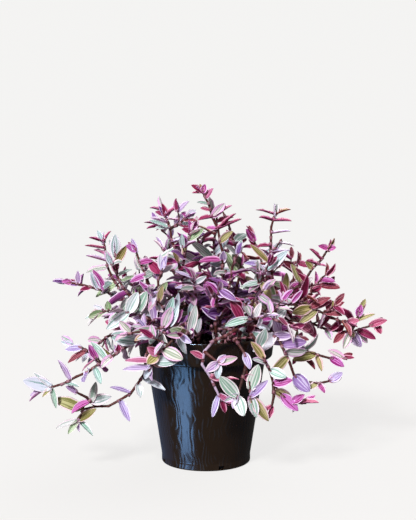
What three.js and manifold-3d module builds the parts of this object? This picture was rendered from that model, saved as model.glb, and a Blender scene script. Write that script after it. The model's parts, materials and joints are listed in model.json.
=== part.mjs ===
// Potted tradescantia: a tapered nursery pot, the soil in it and the leafy stems that grow from it.
// Millimetres, +Z up. The origin is the centre of the pot's flat underside, and -Y is the front.
import * as THREE from "three";
import { mergeVertices } from "three/addons/utils/BufferGeometryUtils.js";
import Module from "manifold-3d";

const wasm = await Module();
wasm.setup();

// Driving dimensions
const POT = {
  height: 134,
  rimRadius: 70,
  rimSkirtRadius: 67.6,
  rimDepth: 24,
  wallTopRadius: 61,
  wallFootRadius: 45.2,
  footRadius: 46.3,
  footHeight: 6,
  wall: 1.8,
  floor: 3,
  edge: 1,
  facets: 36,
};
const DRAIN = { holes: 4, holeRadius: 4, ringRadius: 26, slotWidth: 6, slotTop: 5, slotBottom: 1.4 };
const SLOT_START = THREE.MathUtils.degToRad(200);
const DRAIN_FACETS = 10;
const GAP = 0.3;
const SEED = 7919;
const CURVE_STEPS = 8;
const SAME_POINT = 1e-4;
const SLIVER = 0.02;
const SOIL = { top: 122, flatRadius: 54, edgeDrop: 2, facets: 24 };
const STEM_HOLE = { radius: 2.6, depth: 18, facets: 4 };
const STEM = { rootRadius: 1.7, tipRadius: 1.05, corners: [30, 150, 270], rootDepth: 17, zigzag: 0.8 };
const LIGHT = { outward: 0.5, front: 0.45, up: 0.8, fullOutward: 80 };
const CLEAR = { leaves: 0.4, pot: 0.7, stems: 0.5 };

// A leaf is full-grown at youngReach from the stem's tip, and none grows nearer than apart to an aimed one.
// Leaves narrower than slight have the plainer form of young ones.
// Pairs of numbers are the least and the most that is drawn.
const LEAF = {
  length: 27,
  width: 13.5,
  thickness: 1.3,
  keel: 0.2,
  spacing: 13.5,
  youngReach: 48,
  youngSize: 0.7,
  youngSpread: 58,
  grownSpread: 80,
  towardsLight: 0.62,
  size: [0.88, 1.1],
  spread: [-10, 10],
  sag: [-0.14, 0.32],
  roll: [-34, 34],
  slim: [0.9, 1.06],
  droop: [0.04, 0.2],
  slight: 10.4,
  apart: 15,
};
const TIP = {
  length: 14.5,
  width: 7,
  spread: 34,
  sunk: 2.5,
  rise: [-0.1, 0.25],
  roll: [-40, 40],
  size: [0.85, 1.15],
};

const GREEN = { color: 0x9fc2a4, roughness: 0.5, metalness: 0 };
const FINISH = {
  pot: new THREE.MeshStandardMaterial({ color: 0x1d1712, roughness: 0.18, metalness: 0 }),
  soil: new THREE.MeshStandardMaterial({ color: 0x18120e, roughness: 0.95, metalness: 0 }),
  mint: new THREE.MeshStandardMaterial(GREEN),
  mauve: new THREE.MeshStandardMaterial({ ...GREEN, color: 0xa870a4 }),
  brick: new THREE.MeshStandardMaterial({ ...GREEN, color: 0x9a5660 }),
};

// Hand-placed stems: where each one leaves the soil, then the points that it runs through.
// A branch starts on its stem and belongs to the same piece.
// Some leaves are aimed by hand: x and z of the root, x and z of the tip, how far the tip comes forward,
// the width, and how far the upper face turns up from the front, in degrees.
const PLACED = [
  {
    name: "left_long_trailer",
    finish: "mint",
    bare: 34,
    root: [-38, -24],
    route: [
      [-47, -38, 141], [-58, -52, 139], [-83, -60, 126],
      [-118, -62, 104], [-151, -56, 88], [-164, -54, 83],
    ],
    branches: [[[-103, -62, 114], [-112, -58, 122], [-124, -56, 130], [-132, -55, 131]]],
    aimed: [
      [-155, 89, -179, 96, 4, 14, 15], [-153, 90, -169, 103, 2, 7, 45], [-153, 86, -147, 68, 4, 8, 30],
      [-154, 87, -160, 80, 7, 6, 45], [-132, 99, -144, 117, 2, 8, 40], [-139, 94, -124, 91, 4, 7, 65],
      [-110, 108, -102, 94, 5, 9, 30], [-97, 120, -112, 135, 2, 9, 35],
      [-86, 119, -102, 110, 5, 10, 35], [-84, 120, -86, 132, 1, 7, 60], [-70, 134, -92, 139, 5, 13, 15],
      [-108, 119, -114, 132, 3, 9, 20], [-120, 124, -137, 127, 4, 9, 25],
      [-121, 120, -135, 114, 4, 8, 45],
    ],
  },
  {
    name: "left_front_trailer",
    finish: "mint",
    bare: 26,
    root: [-28, -36],
    route: [
      [-38, -48, 140], [-49, -58, 140], [-57, -64, 128], [-59, -64, 108],
      [-68, -60, 90], [-86, -56, 74], [-104, -54, 68], [-119, -53, 68], [-126, -52, 54],
    ],
    branches: [[[-111, -54, 68], [-118, -56, 78], [-128, -57, 84]]],
    aimed: [
      [-113, 74, -108, 94, 2, 9, 25], [-114, 73, -93, 80, 5, 11, 20], [-123, 68, -149, 78, 4, 14, 20],
      [-123, 56, -108, 67, 4, 10, 25], [-126, 51, -148, 47, 4, 8, 50], [-124, 48, -111, 40, 4, 7, 55],
      [-126, 49, -136, 42, 6, 8, 35], [-85, 72, -75, 55, 4, 10, 25], [-73, 84, -94, 90, 3, 8, 70],
      [-60, 98, -39, 88, 6, 9, 55], [-64, 94, -64, 80, 4, 9, 20],
    ],
  },
  {
    name: "left_arch",
    finish: "mauve",
    bare: 40,
    root: [-26, -8],
    route: [[-42, -12, 150], [-63, -15, 164], [-86, -17, 171], [-116, -18, 183], [-142, -20, 187]],
    aimed: [
      [-134, 186, -144, 189, 4, 8, 30], [-126, 188, -128, 199, 2, 7, 50],
      [-116, 183, -126, 180, 4, 7, 50], [-109, 182, -115, 198, 3, 9, 30],
      [-95, 187, -113, 200, 3, 9, 30], [-94, 186, -99, 177, 5, 9, 25], [-91, 186, -86, 173, 4, 10, 20],
      [-82, 169, -97, 170, 4, 8, 40],
    ],
  },
  {
    name: "left_front_arch",
    finish: "mint",
    bare: 26,
    root: [-22, -28],
    route: [[-30, -36, 141], [-45, -40, 150], [-74, -42, 160], [-93, -40, 163], [-108, -40, 157]],
    aimed: [
      [-75, 158, -67, 181, 3, 13, 15], [-72, 159, -58, 182, 3, 12, 15],
      [-97, 156, -116, 156, 4, 10, 20], [-94, 161, -97, 172, 2, 9, 25], [-78, 158, -98, 145, 6, 13, 15],
      [-67, 157, -83, 143, 8, 9, 30], [-54, 153, -54, 181, 3, 10, 35],
    ],
  },
  {
    name: "left_upright",
    finish: "mint",
    bare: 50,
    root: [-36, 2],
    route: [[-54, 0, 152], [-78, -3, 172], [-93, -5, 185], [-100, -5, 206], [-103, -5, 226]],
    aimed: [
      [-103, 225, -118, 231, 2, 8, 80], [-103, 225, -96, 238, 2, 8, 70],
      [-103, 220, -122, 223, 4, 8, 85], [-100, 211, -113, 219, 3, 9, 70],
      [-100, 209, -121, 213, 4, 9, 80],
    ],
  },
  {
    name: "left_inner_upright",
    finish: "mint",
    bare: 40,
    root: [-18, -16],
    route: [[-34, -21, 152], [-60, -25, 167], [-80, -25, 177], [-88, -23, 196], [-91, -22, 220]],
    aimed: [
      [-91, 216, -90, 236, 2, 11, 15], [-91, 209, -79, 225, 2, 10, 20],
    ],
  },
  {
    name: "left_crown_upright",
    finish: "mauve",
    bare: 36,
    root: [-14, -24],
    route: [[-28, -32, 152], [-52, -34, 173], [-60, -32, 195], [-69, -30, 220]],
    aimed: [
      [-68, 218, -79, 226, 4, 10, 30], [-66, 210, -52, 211, 5, 9, 40], [-61, 196, -75, 190, 5, 9, 35],
    ],
  },
  {
    name: "centre_left_tall",
    finish: "mauve",
    bare: 40,
    root: [-8, 6],
    route: [[-14, 4, 150], [-22, 2, 185], [-30, 0, 214], [-37, 0, 238], [-41, 0, 252]],
    branches: [[[-36, 0, 235], [-27, -4, 245], [-19, -6, 252]]],
    aimed: [
      [-41, 250, -51, 257, 2, 8, 45], [-40, 249, -29, 261, 2, 8, 80], [-40, 246, -56, 251, 4, 8, 80],
      [-38, 241, -57, 248, 4, 9, 60], [-37, 237, -52, 240, 4, 8, 65], [-21, 251, -25, 256, 2, 7, 30],
      [-19, 252, -10, 259, 3, 9, 20],
    ],
  },
  {
    name: "centre_tallest",
    finish: "mauve",
    bare: 46,
    root: [8, -4],
    route: [[12, -6, 160], [17, -7, 195], [15, -8, 226], [5, -8, 257], [-3, -8, 276]],
    aimed: [
      [-4, 276, -15, 284, 2, 8, 40], [-4, 277, -1, 285, 1, 8, 30], [-3, 274, -14, 276, 3, 6, 60],
      [-1, 270, 7, 281, 2, 8, 50], [3, 265, -9, 267, 4, 8, 60], [5, 258, -6, 261, 4, 7, 60],
      [7, 250, -8, 249, 4, 8, 70], [8, 252, 19, 266, 2, 10, 25], [10, 251, 26, 264, 3, 9, 60],
      [14, 242, 30, 256, 3, 9, 80], [16, 237, 36, 250, 4, 9, 80], [13, 240, 0, 241, 4, 8, 60],
      [16, 227, 27, 238, 4, 10, 20],
    ],
  },
  {
    name: "centre_right_tall",
    finish: "mauve",
    bare: 40,
    root: [18, 8],
    route: [[27, 6, 155], [33, 5, 187], [32, 5, 210], [25, 5, 236], [17, 5, 256]],
    aimed: [
      [33, 190, 19, 216, 8, 12, 15],
    ],
  },
  {
    name: "right_inner_tall",
    finish: "brick",
    bare: 36,
    root: [28, 14],
    route: [[42, 14, 150], [57, 14, 175], [58, 14, 197], [53, 14, 216], [47, 14, 231]],
    aimed: [
      [49, 225, 41, 238, 3, 10, 25], [54, 212, 43, 227, 3, 8, 60], [57, 206, 78, 224, 3, 11, 20],
      [57, 197, 39, 203, 6, 9, 50], [58, 195, 49, 183, 8, 10, 20],
    ],
  },
  {
    name: "right_upright",
    finish: "mint",
    bare: 40,
    root: [30, -4],
    route: [[48, -5, 150], [66, -5, 184], [66, -5, 210], [65, -5, 232], [69, -5, 254]],
    aimed: [
      [68, 254, 50, 260, 3, 8, 85], [69, 254, 85, 260, 3, 9, 75], [68, 250, 86, 248, 4, 8, 85],
      [67, 245, 53, 252, 3, 8, 85], [66, 235, 85, 238, 4, 8, 85], [66, 223, 51, 222, 5, 8, 75],
      [66, 216, 85, 218, 4, 9, 85],
    ],
  },
  {
    name: "centre_front_upright",
    finish: "mauve",
    bare: 30,
    root: [12, -22],
    route: [[15, -27, 150], [20, -29, 172], [25, -29, 195], [30, -29, 217]],
  },
  {
    name: "centre_left_upright",
    finish: "mauve",
    bare: 30,
    root: [-8, -12],
    route: [[-15, -15, 150], [-22, -15, 180], [-23, -15, 207], [-15, -15, 236]],
    aimed: [
      [-14, 153, -10, 171, 8, 10, 25], [-16, 151, -32, 150, 8, 11, 20], [-15, 235, -24, 241, 2, 8, 45],
      [-15, 235, -6, 240, 3, 7, 50], [-15, 229, -2, 241, 3, 10, 20],
    ],
  },
  {
    name: "left_front_crown",
    finish: "mint",
    bare: 24,
    root: [-20, -38],
    route: [[-33, -46, 146], [-45, -48, 168], [-47, -47, 188], [-42, -46, 205]],
    aimed: [
      [-35, 158, -32, 177, 3, 10, 20], [-43, 181, -38, 192, 3, 9, 20],
    ],
  },
  {
    name: "right_arch",
    finish: "brick",
    bare: 36,
    root: [38, -2],
    route: [[56, -4, 146], [80, -5, 168], [97, -5, 185], [113, -5, 205], [123, -5, 219]],
    aimed: [
      [122, 217, 113, 223, 3, 8, 30], [122, 218, 131, 221, 2, 8, 30], [117, 211, 104, 220, 3, 8, 80],
      [112, 204, 101, 208, 3, 8, 80], [112, 204, 122, 202, 3, 8, 80], [108, 198, 100, 207, 3, 9, 30],
    ],
  },
  {
    name: "right_level_arch",
    finish: "brick",
    bare: 32,
    root: [36, -14],
    route: [[53, -18, 150], [71, -20, 171], [90, -20, 182], [120, -20, 184]],
    aimed: [
      [103, 184, 91, 197, 3, 8, 50], [116, 184, 134, 182, 4, 9, 40], [97, 183, 107, 193, 3, 9, 25],
    ],
  },
  {
    name: "right_long_trailer",
    finish: "brick",
    bare: 26,
    root: [42, -10],
    route: [
      [57, -12, 144], [79, -15, 149], [104, -15, 145],
      [130, -15, 137], [150, -15, 137], [171, -15, 144],
    ],
    branches: [[[146, -15, 137], [151, -15, 148], [155, -15, 158]]],
    aimed: [
      [101, 144, 111, 131, 6, 10, 20], [130, 137, 139, 143, 3, 9, 30], [154, 155, 156, 164, 2, 9, 30],
      [153, 149, 170, 155, 3, 8, 60], [150, 142, 131, 148, 3, 8, 75], [165, 141, 182, 149, 4, 10, 30],
      [155, 137, 171, 130, 5, 10, 30], [147, 137, 156, 122, 6, 11, 15], [143, 137, 138, 120, 6, 10, 20],
    ],
  },
  {
    name: "right_front_arch",
    finish: "brick",
    bare: 26,
    root: [34, -26],
    route: [[50, -32, 151], [73, -35, 167], [93, -35, 169], [112, -35, 160], [141, -35, 148]],
    aimed: [
      [105, 166, 123, 175, 4, 10, 35], [101, 166, 85, 160, 8, 11, 20], [116, 159, 135, 157, 4, 9, 50],
      [108, 163, 91, 149, 8, 10, 20], [86, 168, 62, 176, 4, 10, 50],
    ],
  },
  {
    name: "right_low_trailer",
    finish: "brick",
    bare: 28,
    root: [50, -14],
    route: [[58, -26, 139], [69, -38, 139], [87, -46, 129], [111, -47, 118], [136, -45, 115]],
    aimed: [
      [122, 119, 136, 108, 4, 10, 25], [112, 121, 114, 103, 4, 8, 60], [135, 116, 120, 124, 3, 9, 35],
      [106, 123, 85, 115, 6, 11, 20], [82, 133, 59, 134, 8, 11, 30], [68, 139, 85, 147, 3, 10, 40],
    ],
  },
  {
    name: "right_front_trailer",
    finish: "mauve",
    bare: 30,
    root: [47, -26],
    route: [
      [54, -42, 140], [62, -54, 142], [72, -62, 135], [79, -65, 121],
      [85, -64, 104], [100, -62, 94], [122, -61, 96],
    ],
    aimed: [
      [87, 103, 101, 87, 4, 16, 10], [110, 95, 116, 85, 4, 8, 40], [108, 94, 100, 89, 4, 8, 40],
      [119, 96, 133, 105, 3, 10, 30], [55, 140, 65, 159, 4, 11, 15],
    ],
  },
  {
    name: "front_right_trailer",
    finish: "mauve",
    bare: 34,
    root: [40, -38],
    route: [
      [42, -54, 141], [46, -70, 142], [53, -80, 129], [61, -80, 110],
      [69, -78, 90], [80, -77, 80], [97, -76, 77],
    ],
    branches: [[[67, -79, 94], [66, -82, 84], [63, -84, 74]]],
    aimed: [
      [61, 116, 44, 122, 3, 9, 50], [58, 121, 43, 139, 3, 10, 30], [62, 112, 77, 105, 6, 11, 20],
      [67, 98, 83, 102, 5, 11, 25], [72, 82, 89, 71, 5, 11, 20], [81, 79, 95, 87, 4, 10, 25],
      [92, 77, 109, 79, 4, 9, 75],
    ],
  },
  {
    name: "front_centre_trailer",
    finish: "mauve",
    bare: 44,
    root: [30, -42],
    route: [
      [33, -56, 143], [30, -70, 148], [18, -79, 144], [5, -83, 137],
      [-4, -83, 126], [-1, -82, 112], [10, -80, 93],
      [15, -80, 80],
    ],
    branches: [[[-3, -83, 125], [4, -88, 122], [12, -91, 120]]],
    aimed: [
      [-3, 125, -15, 130, 4, 8, 40], [11, 118, 0, 112, 4, 10, 15], [12, 118, 19, 128, 2, 8, 30],
      [12, 117, 30, 126, 4, 10, 20], [11, 117, 11, 105, 4, 9, 20], [4, 104, 15, 102, 6, 8, 45],
      [8, 101, 32, 104, 4, 8, 80], [14, 84, 25, 78, 4, 8, 45], [13, 85, 6, 65, 4, 7, 50],
    ],
  },
  {
    name: "front_mint_trailer",
    finish: "mint",
    bare: 36,
    root: [16, -46],
    route: [[21, -60, 138], [28, -74, 140], [35, -86, 131], [39, -88, 112], [43, -87, 86]],
    branches: [[[39, -88, 108], [34, -91, 98], [30, -93, 88]]],
    aimed: [
      [31, 89, 13, 108, 3, 13, 15], [42, 91, 50, 118, 3, 13, 15], [34, 88, 36, 70, 6, 13, 10],
      [41, 87, 48, 67, 6, 11, 20], [43, 86, 60, 63, 4, 12, 15], [43, 88, 59, 103, 3, 10, 25],
      [35, 129, 42, 114, 6, 9, 25],
    ],
  },
  {
    name: "front_left_trailer",
    finish: "mint",
    bare: 32,
    root: [-12, -44],
    route: [[-16, -60, 142], [-24, -72, 145], [-35, -77, 137], [-46, -77, 125], [-53, -76, 112]],
    aimed: [
      [-46, 124, -56, 133, 4, 10, 20], [-46, 122, -56, 118, 9, 11, 20], [-47, 120, -26, 120, 4, 12, 20],
      [-40, 133, -22, 122, 8, 13, 25], [-51, 117, -78, 120, 3, 8, 50], [-52, 115, -80, 112, 5, 8, 40],
    ],
  },
  {
    name: "left_low_arch",
    finish: "mint",
    bare: 26,
    root: [-6, -34],
    route: [[-12, -50, 145], [-26, -60, 152], [-42, -65, 149], [-60, -69, 146], [-78, -72, 144]],
    aimed: [
      [-46, 148, -72, 145, 4, 10, 20], [-54, 146, -69, 138, 6, 8, 35], [-44, 147, -54, 134, 5, 10, 20],
      [-40, 148, -33, 170, 3, 11, 20], [-35, 149, -27, 172, 3, 10, 25], [-27, 150, -18, 138, 6, 10, 25],
    ],
  },
  {
    name: "right_low_arch",
    finish: "mint",
    bare: 26,
    root: [14, -34],
    route: [[19, -50, 143], [30, -62, 153], [48, -65, 159], [66, -65, 158], [84, -64, 149]],
    aimed: [
      [44, 156, 18, 152, 6, 10, 40], [45, 157, 53, 174, 2, 8, 45],
    ],
  },
  {
    name: "right_crown_upright",
    finish: "mint",
    bare: 30,
    root: [22, -30],
    route: [[33, -39, 146], [44, -42, 163], [51, -42, 182], [62, -42, 210]],
    aimed: [
      [55, 192, 64, 175, 6, 10, 15], [53, 186, 34, 187, 6, 10, 35],
    ],
  },
  {
    name: "right_back_upright",
    finish: "brick",
    bare: 30,
    root: [40, 10],
    route: [[58, 12, 144], [77, 14, 158], [87, 14, 175], [94, 14, 203]],
    aimed: [
      [84, 167, 78, 186, 4, 9, 30], [88, 176, 96, 182, 3, 10, 25],
    ],
  },
];

// Arching stems by rule: heading in degrees from +X, root radius, how far out and how high they reach,
// and the height that their tips fall back by.
const ARCHED = [
  { name: "back_tall", finish: "mauve", heading: 102, root: 20, reach: 44, rise: 116, fall: 0 },
  { name: "back_right_tall", finish: "mauve", heading: 66, root: 28, reach: 60, rise: 98, fall: 0 },
  { name: "back_left_tall", finish: "mint", heading: 136, root: 24, reach: 66, rise: 94, fall: 0 },
  { name: "back_left_arch", finish: "mint", heading: 160, root: 34, reach: 98, rise: 66, fall: 6 },
  { name: "back_right_arch", finish: "brick", heading: 31, root: 43, reach: 106, rise: 60, fall: 8 },
  { name: "back_right_crown", finish: "brick", heading: 50, root: 38, reach: 88, rise: 62, fall: 4 },
  { name: "back_crown", finish: "mauve", heading: 88, root: 38, reach: 82, rise: 60, fall: 4 },
  { name: "back_left_crown", finish: "mint", heading: 120, root: 40, reach: 90, rise: 46, fall: 6 },
  { name: "back_left_low", finish: "mint", heading: 147, root: 44, reach: 108, rise: 38, fall: 12 },
  { name: "front_left_crown", finish: "mauve", heading: 252, root: 20, reach: 42, rise: 72, fall: 0 },
  { name: "front_crown", finish: "mauve", heading: 282, root: 44, reach: 62, rise: 66, fall: 2 },
  { name: "front_right_crown", finish: "mauve", heading: 304, root: 46, reach: 72, rise: 56, fall: 4 },
  { name: "left_crown", finish: "mint", heading: 186, root: 46, reach: 94, rise: 34, fall: 6 },
  { name: "right_crown", finish: "brick", heading: 352, root: 50, reach: 92, rise: 44, fall: 6 },
  { name: "centre_back_tall", finish: "mauve", heading: 60, root: 10, reach: 22, rise: 128, fall: 0 },
  { name: "back_low_right", finish: "brick", heading: 58, root: 50, reach: 94, rise: 34, fall: 10 },
  { name: "back_low", finish: "mauve", heading: 94, root: 50, reach: 90, rise: 32, fall: 8 },
  { name: "left_back_low", finish: "mint", heading: 165, root: 51, reach: 94, rise: 36, fall: 8 },
  { name: "right_back_low", finish: "brick", heading: 9, root: 52, reach: 98, rise: 32, fall: 8 },
];

// Stems that go over the rim and hang, by rule: heading, how far out they reach and how far they hang down.
const HUNG = [
  { name: "back_right_trailer", finish: "brick", heading: 34, reach: 126, drop: 34 },
  { name: "back_trailer", finish: "mauve", heading: 76, reach: 106, drop: 66 },
  { name: "back_left_trailer", finish: "mint", heading: 108, reach: 112, drop: 50 },
  { name: "left_back_trailer", finish: "mint", heading: 134, reach: 124, drop: 40 },
  { name: "left_side_trailer", finish: "mint", heading: 176, reach: 122, drop: 24 },
];
const OVER_RIM = { root: 50, lip: 64, lipHeight: 144, outside: 80, outsideHeight: 138, bare: 22 };

// Ways in which a leaf may be turned to clear its neighbours: roll and pitch in degrees, and scale.
const TURNS = [
  { roll: 0, pitch: 0, scale: 1 },
  { roll: 28, pitch: 8, scale: 1 },
  { roll: -28, pitch: 8, scale: 1 },
  { roll: 0, pitch: 24, scale: 0.95 },
  { roll: 0, pitch: -24, scale: 0.95 },
  { roll: 55, pitch: 12, scale: 0.88 },
  { roll: -55, pitch: 12, scale: 0.88 },
  { roll: 20, pitch: 42, scale: 0.8 },
  { roll: -20, pitch: -42, scale: 0.8 },
];

// A plain repeatable sequence of numbers from 0 to 1.
class Draw {
  constructor(seed) {
    this.state = seed;
  }

  between(low, high) {
    this.state = (this.state * 48271) % 2147483647;
    return low + (high - low) * (this.state / 2147483647);
  }
}

const rad = THREE.MathUtils.degToRad;
const vector = (point) => new THREE.Vector3(...point);

// Solids

function solidOf(geometry) {
  const bare = geometry.index ? geometry.toNonIndexed() : geometry.clone();
  bare.deleteAttribute("normal");
  bare.deleteAttribute("uv");
  const merged = mergeVertices(bare, SAME_POINT);
  const corners = merged.index.array;
  const faces = [];
  for (let i = 0; i < corners.length; i += 3) {
    const [a, b, c] = corners.subarray(i, i + 3);
    if (a !== b && b !== c && c !== a) faces.push(a, b, c);
  }
  const vertProperties = merged.getAttribute("position").array;
  return new wasm.Manifold(new wasm.Mesh({ numProp: 3, vertProperties, triVerts: new Uint32Array(faces) }));
}

function geometryOf(solid) {
  const mesh = solid.getMesh();
  const geometry = new THREE.BufferGeometry();
  geometry.setAttribute("position", new THREE.BufferAttribute(mesh.vertProperties, 3));
  geometry.setIndex(new THREE.BufferAttribute(mesh.triVerts, 1));
  geometry.computeVertexNormals();
  return geometry;
}

function meshOf(name, solid, material) {
  const mesh = new THREE.Mesh(geometryOf(solid), material);
  mesh.name = name;
  return mesh;
}

// One solid from several that meet. A gap that they close off is filled, and slivers are taken out.
function joined(solids) {
  const shells = wasm.Manifold.union(solids).setTolerance(SLIVER).decompose();
  return wasm.Manifold.compose(shells.filter((shell) => shell.volume() > 0));
}

// A closed skin through rings of equally many points, pinched at each end to one point.
// The diagonals run from the even points to the odd ones, so that they lie alike on both faces of a blade.
function skin(start, rings, end) {
  const count = rings[0].length;
  const points = [start, ...rings.flat(), end];
  const last = points.length - 1;
  const faces = [];
  const ring = (k, i) => 1 + k * count + (i % count);
  for (let i = 0; i < count; i++) {
    faces.push(0, ring(0, i + 1), ring(0, i));
    faces.push(last, ring(rings.length - 1, i), ring(rings.length - 1, i + 1));
    for (let k = 0; k + 1 < rings.length; k++) {
      const [a, b, c, d] = [ring(k, i), ring(k, i + 1), ring(k + 1, i + 1), ring(k + 1, i)];
      if (i % 2) faces.push(a, b, d, b, c, d);
      else faces.push(a, b, c, a, c, d);
    }
  }
  const geometry = new THREE.BufferGeometry().setFromPoints(points);
  geometry.setIndex(faces);
  return solidOf(geometry);
}

function turned(profile, facets) {
  const geometry = new THREE.LatheGeometry(profile.map(([r, z]) => new THREE.Vector2(r, z)), facets);
  return solidOf(geometry.rotateX(Math.PI / 2));
}

function upright(radius, bottom, top, x, y, sides) {
  const geometry = new THREE.CylinderGeometry(radius, radius, top - bottom, sides);
  geometry.rotateX(Math.PI / 2).translate(x, y, (top + bottom) / 2);
  return solidOf(geometry);
}

// Pot

const LEDGE = POT.height - POT.rimDepth;

// The wall's outer radius at a height, below the rim.
const wallRadius = (z) =>
  THREE.MathUtils.mapLinear(z, POT.footHeight, LEDGE, POT.wallFootRadius, POT.wallTopRadius);

// The radius inside the rim band at a height.
const bandRadius = (z) =>
  THREE.MathUtils.mapLinear(z, LEDGE, POT.height, POT.rimSkirtRadius, POT.rimRadius) - POT.wall;

function pot() {
  const shell = turned(
    [
      [0, 0],
      [POT.footRadius - POT.edge, 0],
      [POT.footRadius, POT.edge],
      [POT.footRadius, POT.footHeight],
      [wallRadius(POT.footHeight + POT.edge), POT.footHeight + POT.edge],
      [wallRadius(LEDGE), LEDGE],
      [POT.rimSkirtRadius - POT.edge, LEDGE],
      [POT.rimSkirtRadius, LEDGE + POT.edge],
      [POT.rimRadius, POT.height - POT.edge],
      [POT.rimRadius - POT.edge / 2, POT.height],
      [bandRadius(POT.height), POT.height],
      [bandRadius(LEDGE + POT.wall), LEDGE + POT.wall],
      [wallRadius(LEDGE) - POT.wall, LEDGE + POT.wall],
      [wallRadius(POT.floor) - POT.wall, POT.floor],
      [0, POT.floor],
    ],
    POT.facets,
  );
  const cuts = [];
  for (let k = 0; k < DRAIN.holes; k++) {
    const turn = (k * 2 * Math.PI) / DRAIN.holes;
    const [x, y] = [DRAIN.ringRadius * Math.cos(turn), DRAIN.ringRadius * Math.sin(turn)];
    cuts.push(upright(DRAIN.holeRadius, -1, POT.floor + 1, x, y, DRAIN_FACETS));
    const slot = new THREE.BoxGeometry(2 * POT.floor + 2, DRAIN.slotWidth, DRAIN.slotTop - DRAIN.slotBottom);
    slot.translate(POT.footRadius, 0, (DRAIN.slotTop + DRAIN.slotBottom) / 2).rotateZ(SLOT_START + turn);
    cuts.push(solidOf(slot));
  }
  return shell.subtract(wasm.Manifold.union(cuts));
}

// Soil: it fills the pot up to its top, with a plain hole for each stem.

function soil(roots) {
  const edgeTop = SOIL.top - SOIL.edgeDrop;
  const fill = turned(
    [
      [0, POT.floor + GAP],
      [wallRadius(POT.floor) - POT.wall - GAP, POT.floor + GAP],
      [wallRadius(LEDGE) - POT.wall - GAP, LEDGE + POT.wall + GAP],
      [bandRadius(LEDGE + POT.wall) - 2 * GAP, LEDGE + POT.wall + GAP],
      [bandRadius(edgeTop) - 2 * GAP, edgeTop],
      [SOIL.flatRadius, SOIL.top],
      [0, SOIL.top],
    ],
    SOIL.facets,
  );
  const { radius, depth, facets } = STEM_HOLE;
  const holes = roots.map(([x, y]) => upright(radius, SOIL.top - depth, SOIL.top + 1, x, y, facets));
  return fill.subtract(wasm.Manifold.union(holes));
}

// Stems

// The points of a smooth curve through a route, and the length along it at each one.
class Course {
  constructor(route) {
    const spans = route.length - 1;
    const curve = new THREE.CatmullRomCurve3(route.map(vector), false, "catmullrom", 0.5);
    this.points = curve.getPoints(CURVE_STEPS * spans);
    this.lengths = [0];
    for (let i = 1; i < this.points.length; i++)
      this.lengths.push(this.lengths[i - 1] + this.points[i].distanceTo(this.points[i - 1]));
    this.length = this.lengths.at(-1);
  }

  // The point and the direction at a length along the curve.
  at(length) {
    let i = 1;
    while (i < this.points.length - 1 && this.lengths[i] < length) i++;
    const [a, b] = [this.points[i - 1], this.points[i]];
    const part = (length - this.lengths[i - 1]) / (this.lengths[i] - this.lengths[i - 1]);
    return { point: a.clone().lerp(b, part), tangent: b.clone().sub(a).normalize() };
  }
}

// Where the light comes from at a place: above, the front, and outwards from the pot.
function lightAt(point) {
  const outward = new THREE.Vector3(point.x, point.y, 0).divideScalar(LIGHT.fullOutward).clampLength(0, 1);
  return outward.multiplyScalar(LIGHT.outward).add(new THREE.Vector3(0, -LIGHT.front, LIGHT.up)).normalize();
}

// The knees of a stem, which swing a little to either side, from its start to its tip.
function knees(course) {
  const count = Math.round(course.length / LEAF.spacing);
  const made = [];
  for (let k = 0; k <= count; k++) {
    const along = (k * course.length) / count;
    const { point, tangent } = course.at(along);
    if (k > 0 && k < count) {
      const across = tangent.clone().cross(lightAt(point)).normalize();
      point.addScaledVector(across, k % 2 ? STEM.zigzag : -STEM.zigzag);
    }
    made.push({ along, point, tangent });
  }
  return made;
}

// The joints of a stem, halfway between its knees, with the side on which the leaf of each one stands.
function joints(list) {
  const length = list.at(-1).along;
  return list.slice(1).map((knee, k) => {
    const before = list[k];
    const point = before.point.clone().lerp(knee.point, 0.5);
    const tangent = knee.point.clone().sub(before.point).normalize();
    const side = tangent.clone().cross(lightAt(point)).normalize();
    side.multiplyScalar(k % 2 ? 1 : -1);
    const along = (before.along + knee.along) / 2;
    return { along, point, tangent, side, fromTip: length - along };
  });
}

// The point of the knee or joint for which a measure is least.
function nearest(list, away) {
  return list.map(({ point }) => point).reduce((best, point) => (away(point) < away(best) ? point : best));
}

// The corners of a stem's section across a direction, at its radius.
function section(point, direction, radius) {
  const face = lightAt(point);
  face.addScaledVector(direction, -face.dot(direction)).normalize();
  const across = face.clone().cross(direction);
  return STEM.corners.map((corner) =>
    point.clone().addScaledVector(across.clone().applyAxisAngle(direction, rad(corner)), radius),
  );
}

// A stem whose end spreads into the first leaf of its tip.
// With a root depth it also goes straight down from its start.
function stem(list, rootDepth, tip) {
  const length = list.at(-1).along;
  const rings = list.map(({ point, tangent, along }) =>
    section(point, tangent, THREE.MathUtils.lerp(STEM.rootRadius, STEM.tipRadius, along / length)),
  );
  const start = list[0].point.clone();
  if (rootDepth) {
    start.z -= rootDepth;
    rings.unshift(section(start, new THREE.Vector3(0, 0, 1), STEM.rootRadius));
  }
  return skin(start, [...rings, ...bladeRings(tip)], ribPoint(tip, 1));
}

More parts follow.
